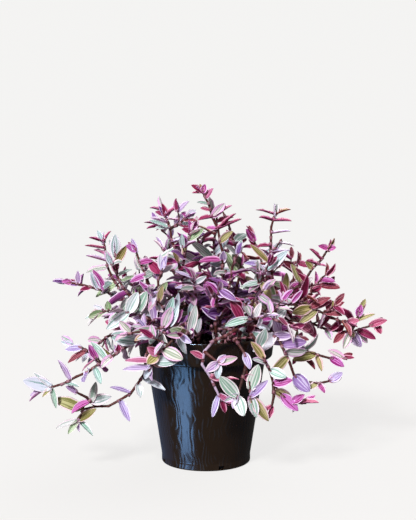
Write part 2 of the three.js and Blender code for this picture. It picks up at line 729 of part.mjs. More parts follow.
// A leaf's pose: its root, its direction, the way its upper face looks, and its sizes.
function leafPose(joint, draw) {
  const age = THREE.MathUtils.clamp(joint.fromTip / LEAF.youngReach, 0, 1);
  const size = THREE.MathUtils.lerp(LEAF.youngSize, 1, age) * draw.between(...LEAF.size);
  const plainSpread = THREE.MathUtils.lerp(LEAF.youngSpread, LEAF.grownSpread, age);
  const spread = rad(plainSpread + draw.between(...LEAF.spread));
  const along = joint.tangent.clone().multiplyScalar(Math.cos(spread));
  along.addScaledVector(joint.side, Math.sin(spread));
  along.z -= age * draw.between(...LEAF.sag);
  along.normalize();
  const face = lightAt(joint.point).lerp(joint.tangent, 1 - LEAF.towardsLight);
  face.addScaledVector(along, -face.dot(along)).normalize();
  face.applyAxisAngle(along, rad(draw.between(...LEAF.roll)));
  const slim = draw.between(...LEAF.slim);
  const droop = age * draw.between(...LEAF.droop);
  const [length, width] = [LEAF.length * size, LEAF.width * size * slim];
  return { root: joint.point, along, face, length, width, droop, young: width < LEAF.slight };
}

// A young leaf's pose at a stem's tip, turned aside by a share of the tip's spread.
function tipPose(knee, aside, draw) {
  const along = knee.tangent.clone().applyAxisAngle(lightAt(knee.point), rad(aside * TIP.spread));
  along.z += draw.between(...TIP.rise);
  along.normalize();
  const face = lightAt(knee.point).lerp(knee.tangent, 1 - LEAF.towardsLight);
  face.addScaledVector(along, -face.dot(along)).normalize();
  face.applyAxisAngle(along, rad(draw.between(...TIP.roll)));
  const size = draw.between(...TIP.size);
  const root = knee.point.clone().addScaledVector(knee.tangent, -TIP.sunk);
  return { root, along, face, length: TIP.length * size, width: TIP.width * size, droop: 0, young: true };
}

// The pose of a leaf that is aimed by hand. Its root moves to the nearest knee or joint.
function aimedPose(axes, [x, z, tipX, tipZ, forward, width, tilt]) {
  const places = axes.flatMap((list) => [...list, ...joints(list)]);
  const root = nearest(places, (point) => Math.hypot(point.x - x, point.z - z));
  const along = new THREE.Vector3(tipX - root.x, -forward, tipZ - root.z);
  const length = along.length();
  along.normalize();
  const face = new THREE.Vector3(0, -Math.cos(rad(tilt)), Math.sin(rad(tilt)));
  face.addScaledVector(along, -face.dot(along)).normalize();
  return { root, along, face, length, width, droop: 0, young: width < LEAF.slight };
}

function turnedPose(pose, turn) {
  const across = pose.face.clone().cross(pose.along);
  const along = pose.along.clone().applyAxisAngle(across, rad(turn.pitch));
  const face = pose.face.clone().applyAxisAngle(across, rad(turn.pitch));
  face.applyAxisAngle(along, rad(turn.roll));
  return { ...pose, along, face, length: pose.length * turn.scale, width: pose.width * turn.scale };
}

// Half widths of a blade at places along it, as parts of its width, for a grown leaf and for a young one.
const GROWN_OUTLINE = [
  { place: 0.3, half: 0.44 },
  { place: 0.64, half: 0.39 },
];
const YOUNG_OUTLINE = [{ place: 0.42, half: 0.5 }];

// The middle of a leaf at a place along it, from 0 at its root to 1 at its tip.
function ribPoint(pose, place) {
  const sunk = pose.length * pose.droop * place * place;
  return pose.root.clone().addScaledVector(pose.along, pose.length * place).addScaledVector(pose.face, -sunk);
}

// Sections of a leaf: one edge, the top of the rib on a grown leaf, the other edge, the underside of the rib.
function bladeRings(pose) {
  const across = pose.face.clone().cross(pose.along);
  return (pose.young ? YOUNG_OUTLINE : GROWN_OUTLINE).map(({ place, half }) => {
    const rib = ribPoint(pose, place);
    const reach = half * pose.width;
    const lift = 2 * reach * LEAF.keel;
    const at = (aside, up) => rib.clone().addScaledVector(across, aside).addScaledVector(pose.face, up);
    const top = pose.young ? [] : [at(0, LEAF.thickness / 2)];
    return [at(reach, lift), ...top, at(-reach, lift), at(0, -LEAF.thickness / 2)];
  });
}

const blade = (pose) => skin(ribPoint(pose, 0), bladeRings(pose), ribPoint(pose, 1));

// Everything that a leaf has to clear, each with its box.
class Neighbours {
  constructor() {
    this.list = [];
  }

  add(owner, solid, gap, stem = false) {
    const { min, max } = solid.boundingBox();
    this.list.push({ owner, solid, gap, stem, min, max });
  }

  // The first one that a solid comes too close to, if any. A stem's own leaves needn't keep a gap.
  closest(owner, solid, besidesOwn = false) {
    const { min, max } = solid.boundingBox();
    return this.list.find((other) => {
      const own = other.owner === owner;
      if (own && (besidesOwn || other.stem)) return false;
      const gap = own ? 0 : other.gap;
      const apart = [0, 1, 2].some((i) => min[i] > other.max[i] + gap || max[i] < other.min[i] - gap);
      return !apart && solid.minGap(other.solid, 2 * CLEAR.pot) <= gap;
    });
  }
}

// Routes of the stems that follow a rule. The shares say how far out and how high each point is.
const ARCH = { bare: 24, low: { out: 0.25, up: 0.4 }, high: { out: 0.62, up: 0.8 } };
const HANG = { halfDrop: 0.4, halfTurn: 6, endTurn: 10 };

function outAt(heading, radius, height) {
  return [radius * Math.cos(rad(heading)), radius * Math.sin(rad(heading)), height];
}

function archRoute({ heading, root, reach, rise, fall }) {
  const out = (part, height) => outAt(heading, root + (reach - root) * part, SOIL.top + height);
  const { low, high } = ARCH;
  return [out(0, 0), out(low.out, rise * low.up), out(high.out, rise * high.up), out(1, rise - fall)];
}

function hungRoute({ heading, reach, drop }) {
  const halfway = (OVER_RIM.outside + reach) / 2;
  return [
    outAt(heading, OVER_RIM.root, SOIL.top),
    outAt(heading, OVER_RIM.lip, OVER_RIM.lipHeight),
    outAt(heading, OVER_RIM.outside, OVER_RIM.outsideHeight),
    outAt(heading + HANG.halfTurn, halfway, OVER_RIM.outsideHeight - HANG.halfDrop * drop),
    outAt(heading + HANG.endTurn, reach, OVER_RIM.outsideHeight - drop),
  ];
}

const specs = [
  ...PLACED.map((spec) => {
    const main = [[...spec.root, SOIL.top], ...spec.route];
    return { ...spec, routes: [main, ...(spec.branches ?? [])] };
  }),
  ...ARCHED.map((spec) => ({ ...spec, bare: ARCH.bare, routes: [archRoute(spec)] })),
  ...HUNG.map((spec) => ({ ...spec, bare: OVER_RIM.bare, routes: [hungRoute(spec)] })),
];

// The whole plant in its pot
const shoots = specs.map((spec, index) => {
  const axes = [knees(new Course(spec.routes[0]))];
  for (const [start, ...rest] of spec.routes.slice(1)) {
    const fork = nearest(axes[0], (point) => point.distanceTo(vector(start)));
    axes.push(knees(new Course([fork.toArray(), ...rest])));
  }
  const draw = new Draw(SEED * (index + 1));
  const stems = axes.map((list, k) => {
    const rootDepth = k === 0 ? STEM.rootDepth : 0;
    return stem(list, rootDepth, tipPose(list.at(-1), 0, draw));
  });
  const aimed = (spec.aimed ?? []).map((leaf) => aimedPose(axes, leaf));
  return { ...spec, axes, stems, draw, aimed, leaves: [] };
});

const potSolid = pot();
const soilSolid = soil(shoots.map(({ routes }) => routes[0][0]));
const neighbours = new Neighbours();
for (const { name, stems } of shoots) {
  for (const one of stems) {
    const other = neighbours.closest(name, one);
    if (other) throw new Error("the stems " + name + " and " + other.owner + " meet");
    neighbours.add(name, one, CLEAR.stems, true);
  }
}
neighbours.add("pot", potSolid, CLEAR.pot);
neighbours.add("soil", soilSolid, CLEAR.pot);

// Adds a leaf to a shoot in the first turn that is clear, or leaves it out.
// Besides its own leaves, it may touch nothing.
function grow(shoot, pose, besidesOwn = true) {
  for (const turn of TURNS) {
    const leaf = blade(turnedPose(pose, turn));
    if (!neighbours.closest(shoot.name, leaf, besidesOwn)) {
      neighbours.add(shoot.name, leaf, CLEAR.leaves);
      shoot.leaves.push(leaf);
      return;
    }
  }
}

for (const shoot of shoots) shoot.aimed.forEach((pose) => grow(shoot, pose));
for (const shoot of shoots) {
  shoot.axes.forEach((list, k) => {
    const bare = k === 0 ? shoot.bare : LEAF.spacing / 2;
    for (const joint of joints(list)) {
      const pose = leafPose(joint, shoot.draw);
      const taken = shoot.aimed.some(({ root }) => root.distanceTo(joint.point) < LEAF.apart);
      if (joint.along >= bare && !taken) grow(shoot, pose, false);
    }
    grow(shoot, tipPose(list.at(-1), k % 2 ? -1 : 1, shoot.draw));
  });
}

const plant = new THREE.Group();
plant.add(meshOf("pot", potSolid, FINISH.pot));
plant.add(meshOf("soil", soilSolid, FINISH.soil));
for (const { name, finish, stems, leaves } of shoots)
  plant.add(meshOf("stem_" + name, joined([...stems, ...leaves]), FINISH[finish]));

export default plant;
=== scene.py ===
"""Looks of a potted tradescantia: a glossy nursery pot, damp soil and about fifty leafy stems.

Lengths are in millimetres, +Z up and -Y towards the front. They become metres where a mesh, a lamp or the
camera is made. The stems grow by the same rule as the solids that they replace, so every leaf of a solid has
its fine leaf in the same place, and smaller leaves and side shoots are added where there is room for them.
"""

from __future__ import annotations

import json
import logging
import math
from collections.abc import Callable, Iterable, Iterator, Mapping, Sequence
from dataclasses import dataclass, field, replace
from enum import Enum

import bpy
import numpy as np
from bpy.types import ID, ColorRamp, Material, Node, NodeSocket, Object, World
from mathutils import Matrix, Quaternion, Vector, noise
from mathutils.bvhtree import BVHTree
from mathutils.kdtree import KDTree

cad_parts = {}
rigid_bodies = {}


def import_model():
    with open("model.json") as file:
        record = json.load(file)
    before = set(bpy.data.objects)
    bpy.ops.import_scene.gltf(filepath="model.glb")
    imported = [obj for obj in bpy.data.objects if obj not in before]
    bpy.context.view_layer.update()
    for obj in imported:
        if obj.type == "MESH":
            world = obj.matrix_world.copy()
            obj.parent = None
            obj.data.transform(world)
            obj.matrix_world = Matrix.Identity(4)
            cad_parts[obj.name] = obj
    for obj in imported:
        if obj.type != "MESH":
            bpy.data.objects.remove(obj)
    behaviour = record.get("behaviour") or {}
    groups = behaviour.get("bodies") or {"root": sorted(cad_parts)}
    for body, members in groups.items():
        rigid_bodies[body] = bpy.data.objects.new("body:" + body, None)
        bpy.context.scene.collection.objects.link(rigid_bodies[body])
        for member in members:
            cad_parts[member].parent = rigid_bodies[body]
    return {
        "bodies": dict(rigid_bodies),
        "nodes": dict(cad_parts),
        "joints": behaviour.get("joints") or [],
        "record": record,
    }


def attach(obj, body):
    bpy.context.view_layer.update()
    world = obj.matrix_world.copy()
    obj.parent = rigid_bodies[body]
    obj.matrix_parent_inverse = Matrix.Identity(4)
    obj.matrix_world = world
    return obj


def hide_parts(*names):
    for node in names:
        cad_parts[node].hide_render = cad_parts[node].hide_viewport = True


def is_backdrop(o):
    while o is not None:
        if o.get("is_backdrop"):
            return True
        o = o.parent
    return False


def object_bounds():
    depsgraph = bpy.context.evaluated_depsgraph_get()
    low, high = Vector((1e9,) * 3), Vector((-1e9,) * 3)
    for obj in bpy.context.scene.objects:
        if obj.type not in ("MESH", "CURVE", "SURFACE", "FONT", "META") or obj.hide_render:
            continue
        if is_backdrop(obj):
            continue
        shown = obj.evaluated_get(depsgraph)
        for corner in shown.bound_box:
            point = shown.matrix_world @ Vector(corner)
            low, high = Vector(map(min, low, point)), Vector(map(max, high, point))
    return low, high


LOG = logging.getLogger("tradescantia")
MM = 0.001
BODY = "root"
SEED = 7919

Pair = tuple[float, float]
Triple = tuple[float, float, float]
Faces = list[tuple[int, ...]]


class Tint(Enum):
    """Which of the plant's colourings a stem has, with the record's material slot for it."""

    MINT = "mint_leaf"
    MAUVE = "mauve_leaf"
    BRICK = "brick_leaf"


class Draw:
    """A plain repeatable sequence of numbers."""

    FACTOR, MODULUS = 48271, 2147483647

    def __init__(self, seed: int) -> None:
        """Starts the sequence at a number."""
        self.state = seed

    def between(self, low: float, high: float) -> float:
        """Draws the next number, which lies between two others."""
        self.state = self.state * self.FACTOR % self.MODULUS
        return low + (high - low) * (self.state / self.MODULUS)

    def pick(self, shares: Mapping[object, float]) -> object:
        """Draws one of several things.

        Args:
            shares: The things, each with its share.

        Returns:
            The thing that was drawn.
        """
        left = self.between(0, sum(shares.values()))
        for thing, share in shares.items():
            left -= share
            if left <= 0:
                break
        return thing


# Colours of leaves and stems

PAINT_LAYERS = ("leaf_ground", "leaf_streak", "leaf_margin")


def colour(red: float, green: float, blue: float) -> Triple:
    """A colour for the shaders, with parts up to 1, from its everyday parts up to 255."""
    parts = (part / 255 for part in (red, green, blue))
    return tuple(part / 12.92 if part < 0.04 else ((part + 0.055) / 1.055) ** 2.4 for part in parts)


@dataclass(frozen=True)
class Paint:
    """The colours of one face of a leaf: its ground, its long streaks and its margin.

    Streaks says how much of the face they cover, and edge how broad the margin is, both from 0 to 1. Both
    differ a little from leaf to leaf, and so does the tinge.
    """

    WARMTH, EDGE_SPREAD, STREAK_SPREAD = 0.12, 0.7, 0.5
    # Powers of the light factor on red, green and blue, so that a darker leaf, painted shade included, is
    # painted redder.
    LIGHTNESS_AND_PAINTED_SHADE_POWERS = (0.75, 1.35, 1)
    SPREADS = (57.3, 31.7, 83.9)
    FULL_WIDTH = 13
    WIDEST_EDGE = 0.62

    ground: Triple
    streak: Triple
    margin: Triple
    streaks: float = 0.5
    edge: float = 0.1

    def numbers(self, seed: float, light: float = 1, width: float = FULL_WIDTH) -> np.ndarray:
        """The paint as the twelve numbers that each face of a mesh carries.

        Args:
            seed: Sets one leaf's streaks apart from the next one's.
            light: How light the leaf is painted: a random lightness, with painted shade for leaves in the
                plant's heart. Dark ones are painted redder too, as shade.
            width: The leaf's width, because a narrow one has as broad a margin.

        Returns:
            The ground and the seed, the streaks and their share, the margin and its breadth.
        """
        more, broader, warmer = ((seed * turns) % 1 - 0.5 for turns in self.SPREADS)
        warmth = self.WARMTH * warmer
        # The tinge is a random warmth times the light factor, which carries painted shade for leaves in the
        # plant's heart.
        tinge = np.array((1 + warmth, 1, 1 - warmth)) * [light**power for power in self.LIGHTNESS_AND_PAINTED_SHADE_POWERS]
        ground, streak, margin = (colour(*part) * tinge for part in (self.ground, self.streak, self.margin))
        edge = min(self.edge * (1 + self.EDGE_SPREAD * broader) * self.FULL_WIDTH / width, self.WIDEST_EDGE)
        streaks = self.streaks + self.STREAK_SPREAD * more
        return np.concatenate([ground, [seed], streak, [streaks], margin, [edge]])


@dataclass(frozen=True)
class LeafPaint:
    """The colours of a leaf's upper face and of its underside."""

    upper: Paint
    under: Paint


PALE_UNDER = Paint((170, 140, 166), (212, 190, 210), (238, 226, 240), 0.4, 0.16)
PINK_UNDER = Paint((156, 64, 138), (194, 118, 180), (232, 196, 226), 0.4, 0.16)
WINE_UNDER = Paint((108, 12, 58), (146, 40, 92), (204, 116, 168), 0.4, 0.14)
VIOLET_UNDER = Paint((92, 20, 96), (136, 60, 150), (204, 150, 214), 0.4, 0.16)
BROWN_UNDER = Paint((118, 36, 36), (156, 76, 64), (198, 146, 144), 0.4, 0.14)


class LeafColour(Enum):
    """The colourings that the plant's leaves have."""

    WHITE = LeafPaint(Paint((144, 178, 172), (222, 228, 238), (242, 238, 248), 0.58, 0.26), PALE_UNDER)
    MINT = LeafPaint(Paint((134, 174, 158), (216, 230, 230), (240, 236, 246), 0.48, 0.2), PALE_UNDER)
    BLUSH = LeafPaint(Paint((138, 162, 142), (220, 214, 220), (230, 186, 228), 0.5, 0.36), PINK_UNDER)
    GREEN = LeafPaint(Paint((120, 152, 108), (192, 210, 180), (232, 232, 226), 0.48, 0.18), PALE_UNDER)
    OLIVE = LeafPaint(Paint((122, 120, 64), (188, 182, 130), (232, 204, 210), 0.46, 0.22), BROWN_UNDER)
    LILAC = LeafPaint(Paint((150, 120, 178), (212, 198, 230), (236, 228, 246), 0.55, 0.22), PINK_UNDER)
    PURPLE = LeafPaint(Paint((92, 34, 110), (164, 124, 196), (226, 208, 240), 0.5, 0.2), VIOLET_UNDER)
    MAGENTA = LeafPaint(Paint((142, 40, 114), (204, 120, 196), (234, 202, 238), 0.5, 0.2), WINE_UNDER)
    ROSE = LeafPaint(Paint((154, 56, 98), (206, 128, 164), (238, 200, 222), 0.5, 0.2), WINE_UNDER)
    MAROON = LeafPaint(Paint((114, 14, 58), (158, 52, 98), (222, 158, 190), 0.45, 0.18), WINE_UNDER)
    BRICK = LeafPaint(Paint((112, 30, 52), (160, 80, 96), (216, 164, 178), 0.5, 0.18), BROWN_UNDER)


WHITE, MINT, BLUSH, GREEN, OLIVE, LILAC, PURPLE, MAGENTA, ROSE, MAROON, BRICK = LeafColour
Shares = Mapping[LeafColour, float]

# How often each colouring is drawn, on full-grown leaves and on the youngest ones.
GROWN_SHARES: Mapping[Tint, Shares] = {
    Tint.MINT: {WHITE: 3, MINT: 5, BLUSH: 2, GREEN: 2, OLIVE: 1, LILAC: 1},
    Tint.MAUVE: {PURPLE: 3, LILAC: 2, MAGENTA: 2, MINT: 3, BLUSH: 2, MAROON: 1},
    Tint.BRICK: {BRICK: 3, OLIVE: 3, MAROON: 3, ROSE: 1, BLUSH: 1, MAGENTA: 1},
}
YOUNG_SHARES: Mapping[Tint, Shares] = {
    Tint.MINT: {LILAC: 2, MAGENTA: 1, WHITE: 3, BLUSH: 3, MAROON: 1},
    Tint.MAUVE: {MAGENTA: 3, MAROON: 3, LILAC: 2, BLUSH: 2, MINT: 2, PURPLE: 2, OLIVE: 1},
    Tint.BRICK: {MAROON: 3, MAGENTA: 2, BRICK: 2, OLIVE: 1, ROSE: 1},
}


@dataclass(frozen=True)
class Patch:
    """A part of the plant in which some colourings are common: its middle, its reach and their shares."""

    middle: Triple
    reach: float
    shares: Shares

    def apart(self, point: Vector) -> float:
        """How far out of the patch a place is, from 0 in its middle to 1 where it ends."""
        return (point - Vector(self.middle)).length / self.reach


PATCHES = (
    Patch((-88, -30, 172), 46, {WHITE: 4, MINT: 5, GREEN: 2, BLUSH: 2}),
    Patch((-140, -20, 130), 62, {WHITE: 4, MINT: 2, BLUSH: 3, OLIVE: 2, LILAC: 1, ROSE: 1}),
    Patch((-62, 0, 232), 46, {MINT: 4, WHITE: 2, BLUSH: 2, MAGENTA: 2, OLIVE: 1, MAROON: 1}),
    Patch((-4, -10, 250), 46, {MAGENTA: 3, MINT: 3, MAROON: 2, PURPLE: 2, OLIVE: 1, BLUSH: 1, WHITE: 1}),
    Patch((-6, -50, 186), 54, {PURPLE: 6, LILAC: 4, MINT: 2, WHITE: 1, MAGENTA: 2, MAROON: 1}),
    Patch((52, -20, 205), 42, {MINT: 3, OLIVE: 2, GREEN: 2, MAROON: 2, BLUSH: 1, LILAC: 1, MAGENTA: 1}),
    Patch((28, -75, 128), 38, {MINT: 4, WHITE: 2, LILAC: 3, BLUSH: 3, OLIVE: 1, ROSE: 1}),
    Patch((88, -50, 128), 44, {LILAC: 3, MAGENTA: 2, BLUSH: 2, MINT: 1, PURPLE: 1, OLIVE: 1}),
)


def shares_for(tint: Tint, point: Vector, young: bool) -> Shares:
    """How often each colouring is drawn for a leaf.

    Args:
        tint: The stem's tint.
        point: The middle of the leaf.
        young: Whether it is one of the youngest.

    Returns:
        The shares.
    """
    if young:
        return YOUNG_SHARES[tint]
    patch = min(PATCHES, key=lambda patch: patch.apart(point))
    return patch.shares if patch.apart(point) < 1 else GROWN_SHARES[tint]


# Bark colours from a stem's root to its tip
STEM_OLD = Paint((70, 36, 30), (44, 22, 22), (110, 76, 78), 0.45, 0)
STEM_YOUNG = Paint((66, 26, 28), (96, 48, 46), (96, 80, 56), 0.5, 0)
STEM_LILAC = Paint((176, 150, 174), (206, 186, 210), (190, 160, 190), 0.5, 0)
LILAC_STEMS = ("front_centre_trailer",)
SHEATH = Paint((132, 76, 88), (184, 142, 162), (210, 170, 190), 0.5, 0)


# Where the stems grow


@dataclass(frozen=True)
class Light:
    """Where the leaves turn to: up, the front, and outwards from the pot."""

    outward: float = 0.5
    front: float = 0.45
    up: float = 0.8
    full_outward: float = 80

    def at(self, point: Vector) -> Vector:
        """The direction of the light at a place.

        Args:
            point: The place.

        Returns:
            The direction, of length 1.
        """
        outward = Vector((point.x, point.y, 0)) / self.full_outward
        if outward.length > 1:
            outward.normalize()
        return (outward * self.outward + Vector((0, -self.front, self.up))).normalized()


@dataclass(frozen=True)
class Growth:
    """The measures of stems that the solids have too."""

    soil_top: float = 122
    curve_steps: int = 8
    spacing: float = 13.5
    zigzag: float = 0.8
    root_radius: float = 1.7
    tip_radius: float = 1.05
    root_depth: float = 17


LIGHT = Light()
GROWTH = Growth()


@dataclass(frozen=True)
class Aimed:
    """A leaf whose aim is given, here and in the solids.

    Its root and its tip are given as seen from the front. Forward is how far the tip comes to the front, and
    tilt how far the upper face turns up from there, in degrees.
    """

    x: float
    z: float
    tip_x: float
    tip_z: float
    forward: float
    width: float
    tilt: float
    tone: LeafColour

    def apart(self, point: Vector) -> float:
        """How far a place is from the leaf's root, seen from the front."""
        return math.hypot(point.x - self.x, point.z - self.z)

    def pose(self, root: Vector) -> Pose:
        """How the leaf stands.

        Args:
            root: Where it grows from.

        Returns:
            The leaf's pose.
        """
        way = Vector((self.tip_x - root.x, -self.forward, self.tip_z - root.z))
        tilt = math.radians(self.tilt)
        face = turned_to(way.normalized(), Vector((0, -math.cos(tilt), math.sin(tilt))), 0)
        return Pose(root, way.normalized(), face, way.length, self.width, 0, self.width < LEAF.slight, 1)


def leaves(*rows: tuple[float | LeafColour, ...]) -> tuple[Aimed, ...]:
    """The aimed leaves, from their values in the order that Aimed has them."""
    return tuple(Aimed(*row) for row in rows)


@dataclass(frozen=True)
class Shoot:
    """A stem whose place is given.

    The route runs on from the root, bare is the length without leaves from the soil up, and a branch starts
    on the stem.
    """

    name: str
    tint: Tint
    bare: float
    root: Pair
    route: tuple[Triple, ...]
    branch: tuple[Triple, ...] = ()
    aimed: tuple[Aimed, ...] = ()

    @property
    def trunk(self) -> list[Triple]:
        """The points of the stem itself."""
        return [(*self.root, GROWTH.soil_top), *self.route]


def turns_round(count: int) -> list[float]:
    """Angles in radians that are evenly spread round a circle."""
    return [math.tau * k / count for k in range(count)]


def polar(turn: float, radius: float, height: float) -> Triple:
    """A point at an angle in radians from +X, a radius and a height."""
    return (radius * math.cos(turn), radius * math.sin(turn), height)


def out_at(heading: float, radius: float, height: float) -> Triple:
    """A point at a heading in degrees from +X, a radius and a height."""
    return polar(math.radians(heading), radius, height)


def arch(name: str, tint: Tint, heading: float, root: float, reach: float, rise: float, fall: float) -> Shoot:
    """A stem that arches by rule.

    Args:
        name: Its name.
        tint: Its tint.
        heading: Where it leans to, in degrees from +X.
        root: How far from the middle it starts.
        reach: How far out it ends.
        rise: How high above the soil it reaches.
        fall: How far its tip falls back.

    Returns:
        The stem.
    """
    bare, shares = 24, ((0, 0), (0.25, 0.4 * rise), (0.62, 0.8 * rise), (1, rise - fall))
    start, *route = (out_at(heading, root + (reach - root) * out, GROWTH.soil_top + up) for out, up in shares)
    return Shoot(name, tint, bare, start[:2], tuple(route))


def hanger(name: str, tint: Tint, heading: float, reach: float, drop: float) -> Shoot:
    """A stem that goes over the rim and hangs, by rule.

    Args:
        name: Its name.
        tint: Its tint.
        heading: Where it hangs, in degrees from +X.
        reach: How far out it ends.
        drop: How far it hangs down.

    Returns:
        The stem.
    """
    bare, root, lip, lip_height, outside, top = 22, 50, 64, 144, 80, 138
    route = ((heading, lip, lip_height), (heading, outside, top),
        (heading + 6, (outside + reach) / 2, top - 0.4 * drop), (heading + 10, reach, top - drop))
    return Shoot(name, tint, bare, out_at(heading, root, 0)[:2], tuple(out_at(*point) for point in route))


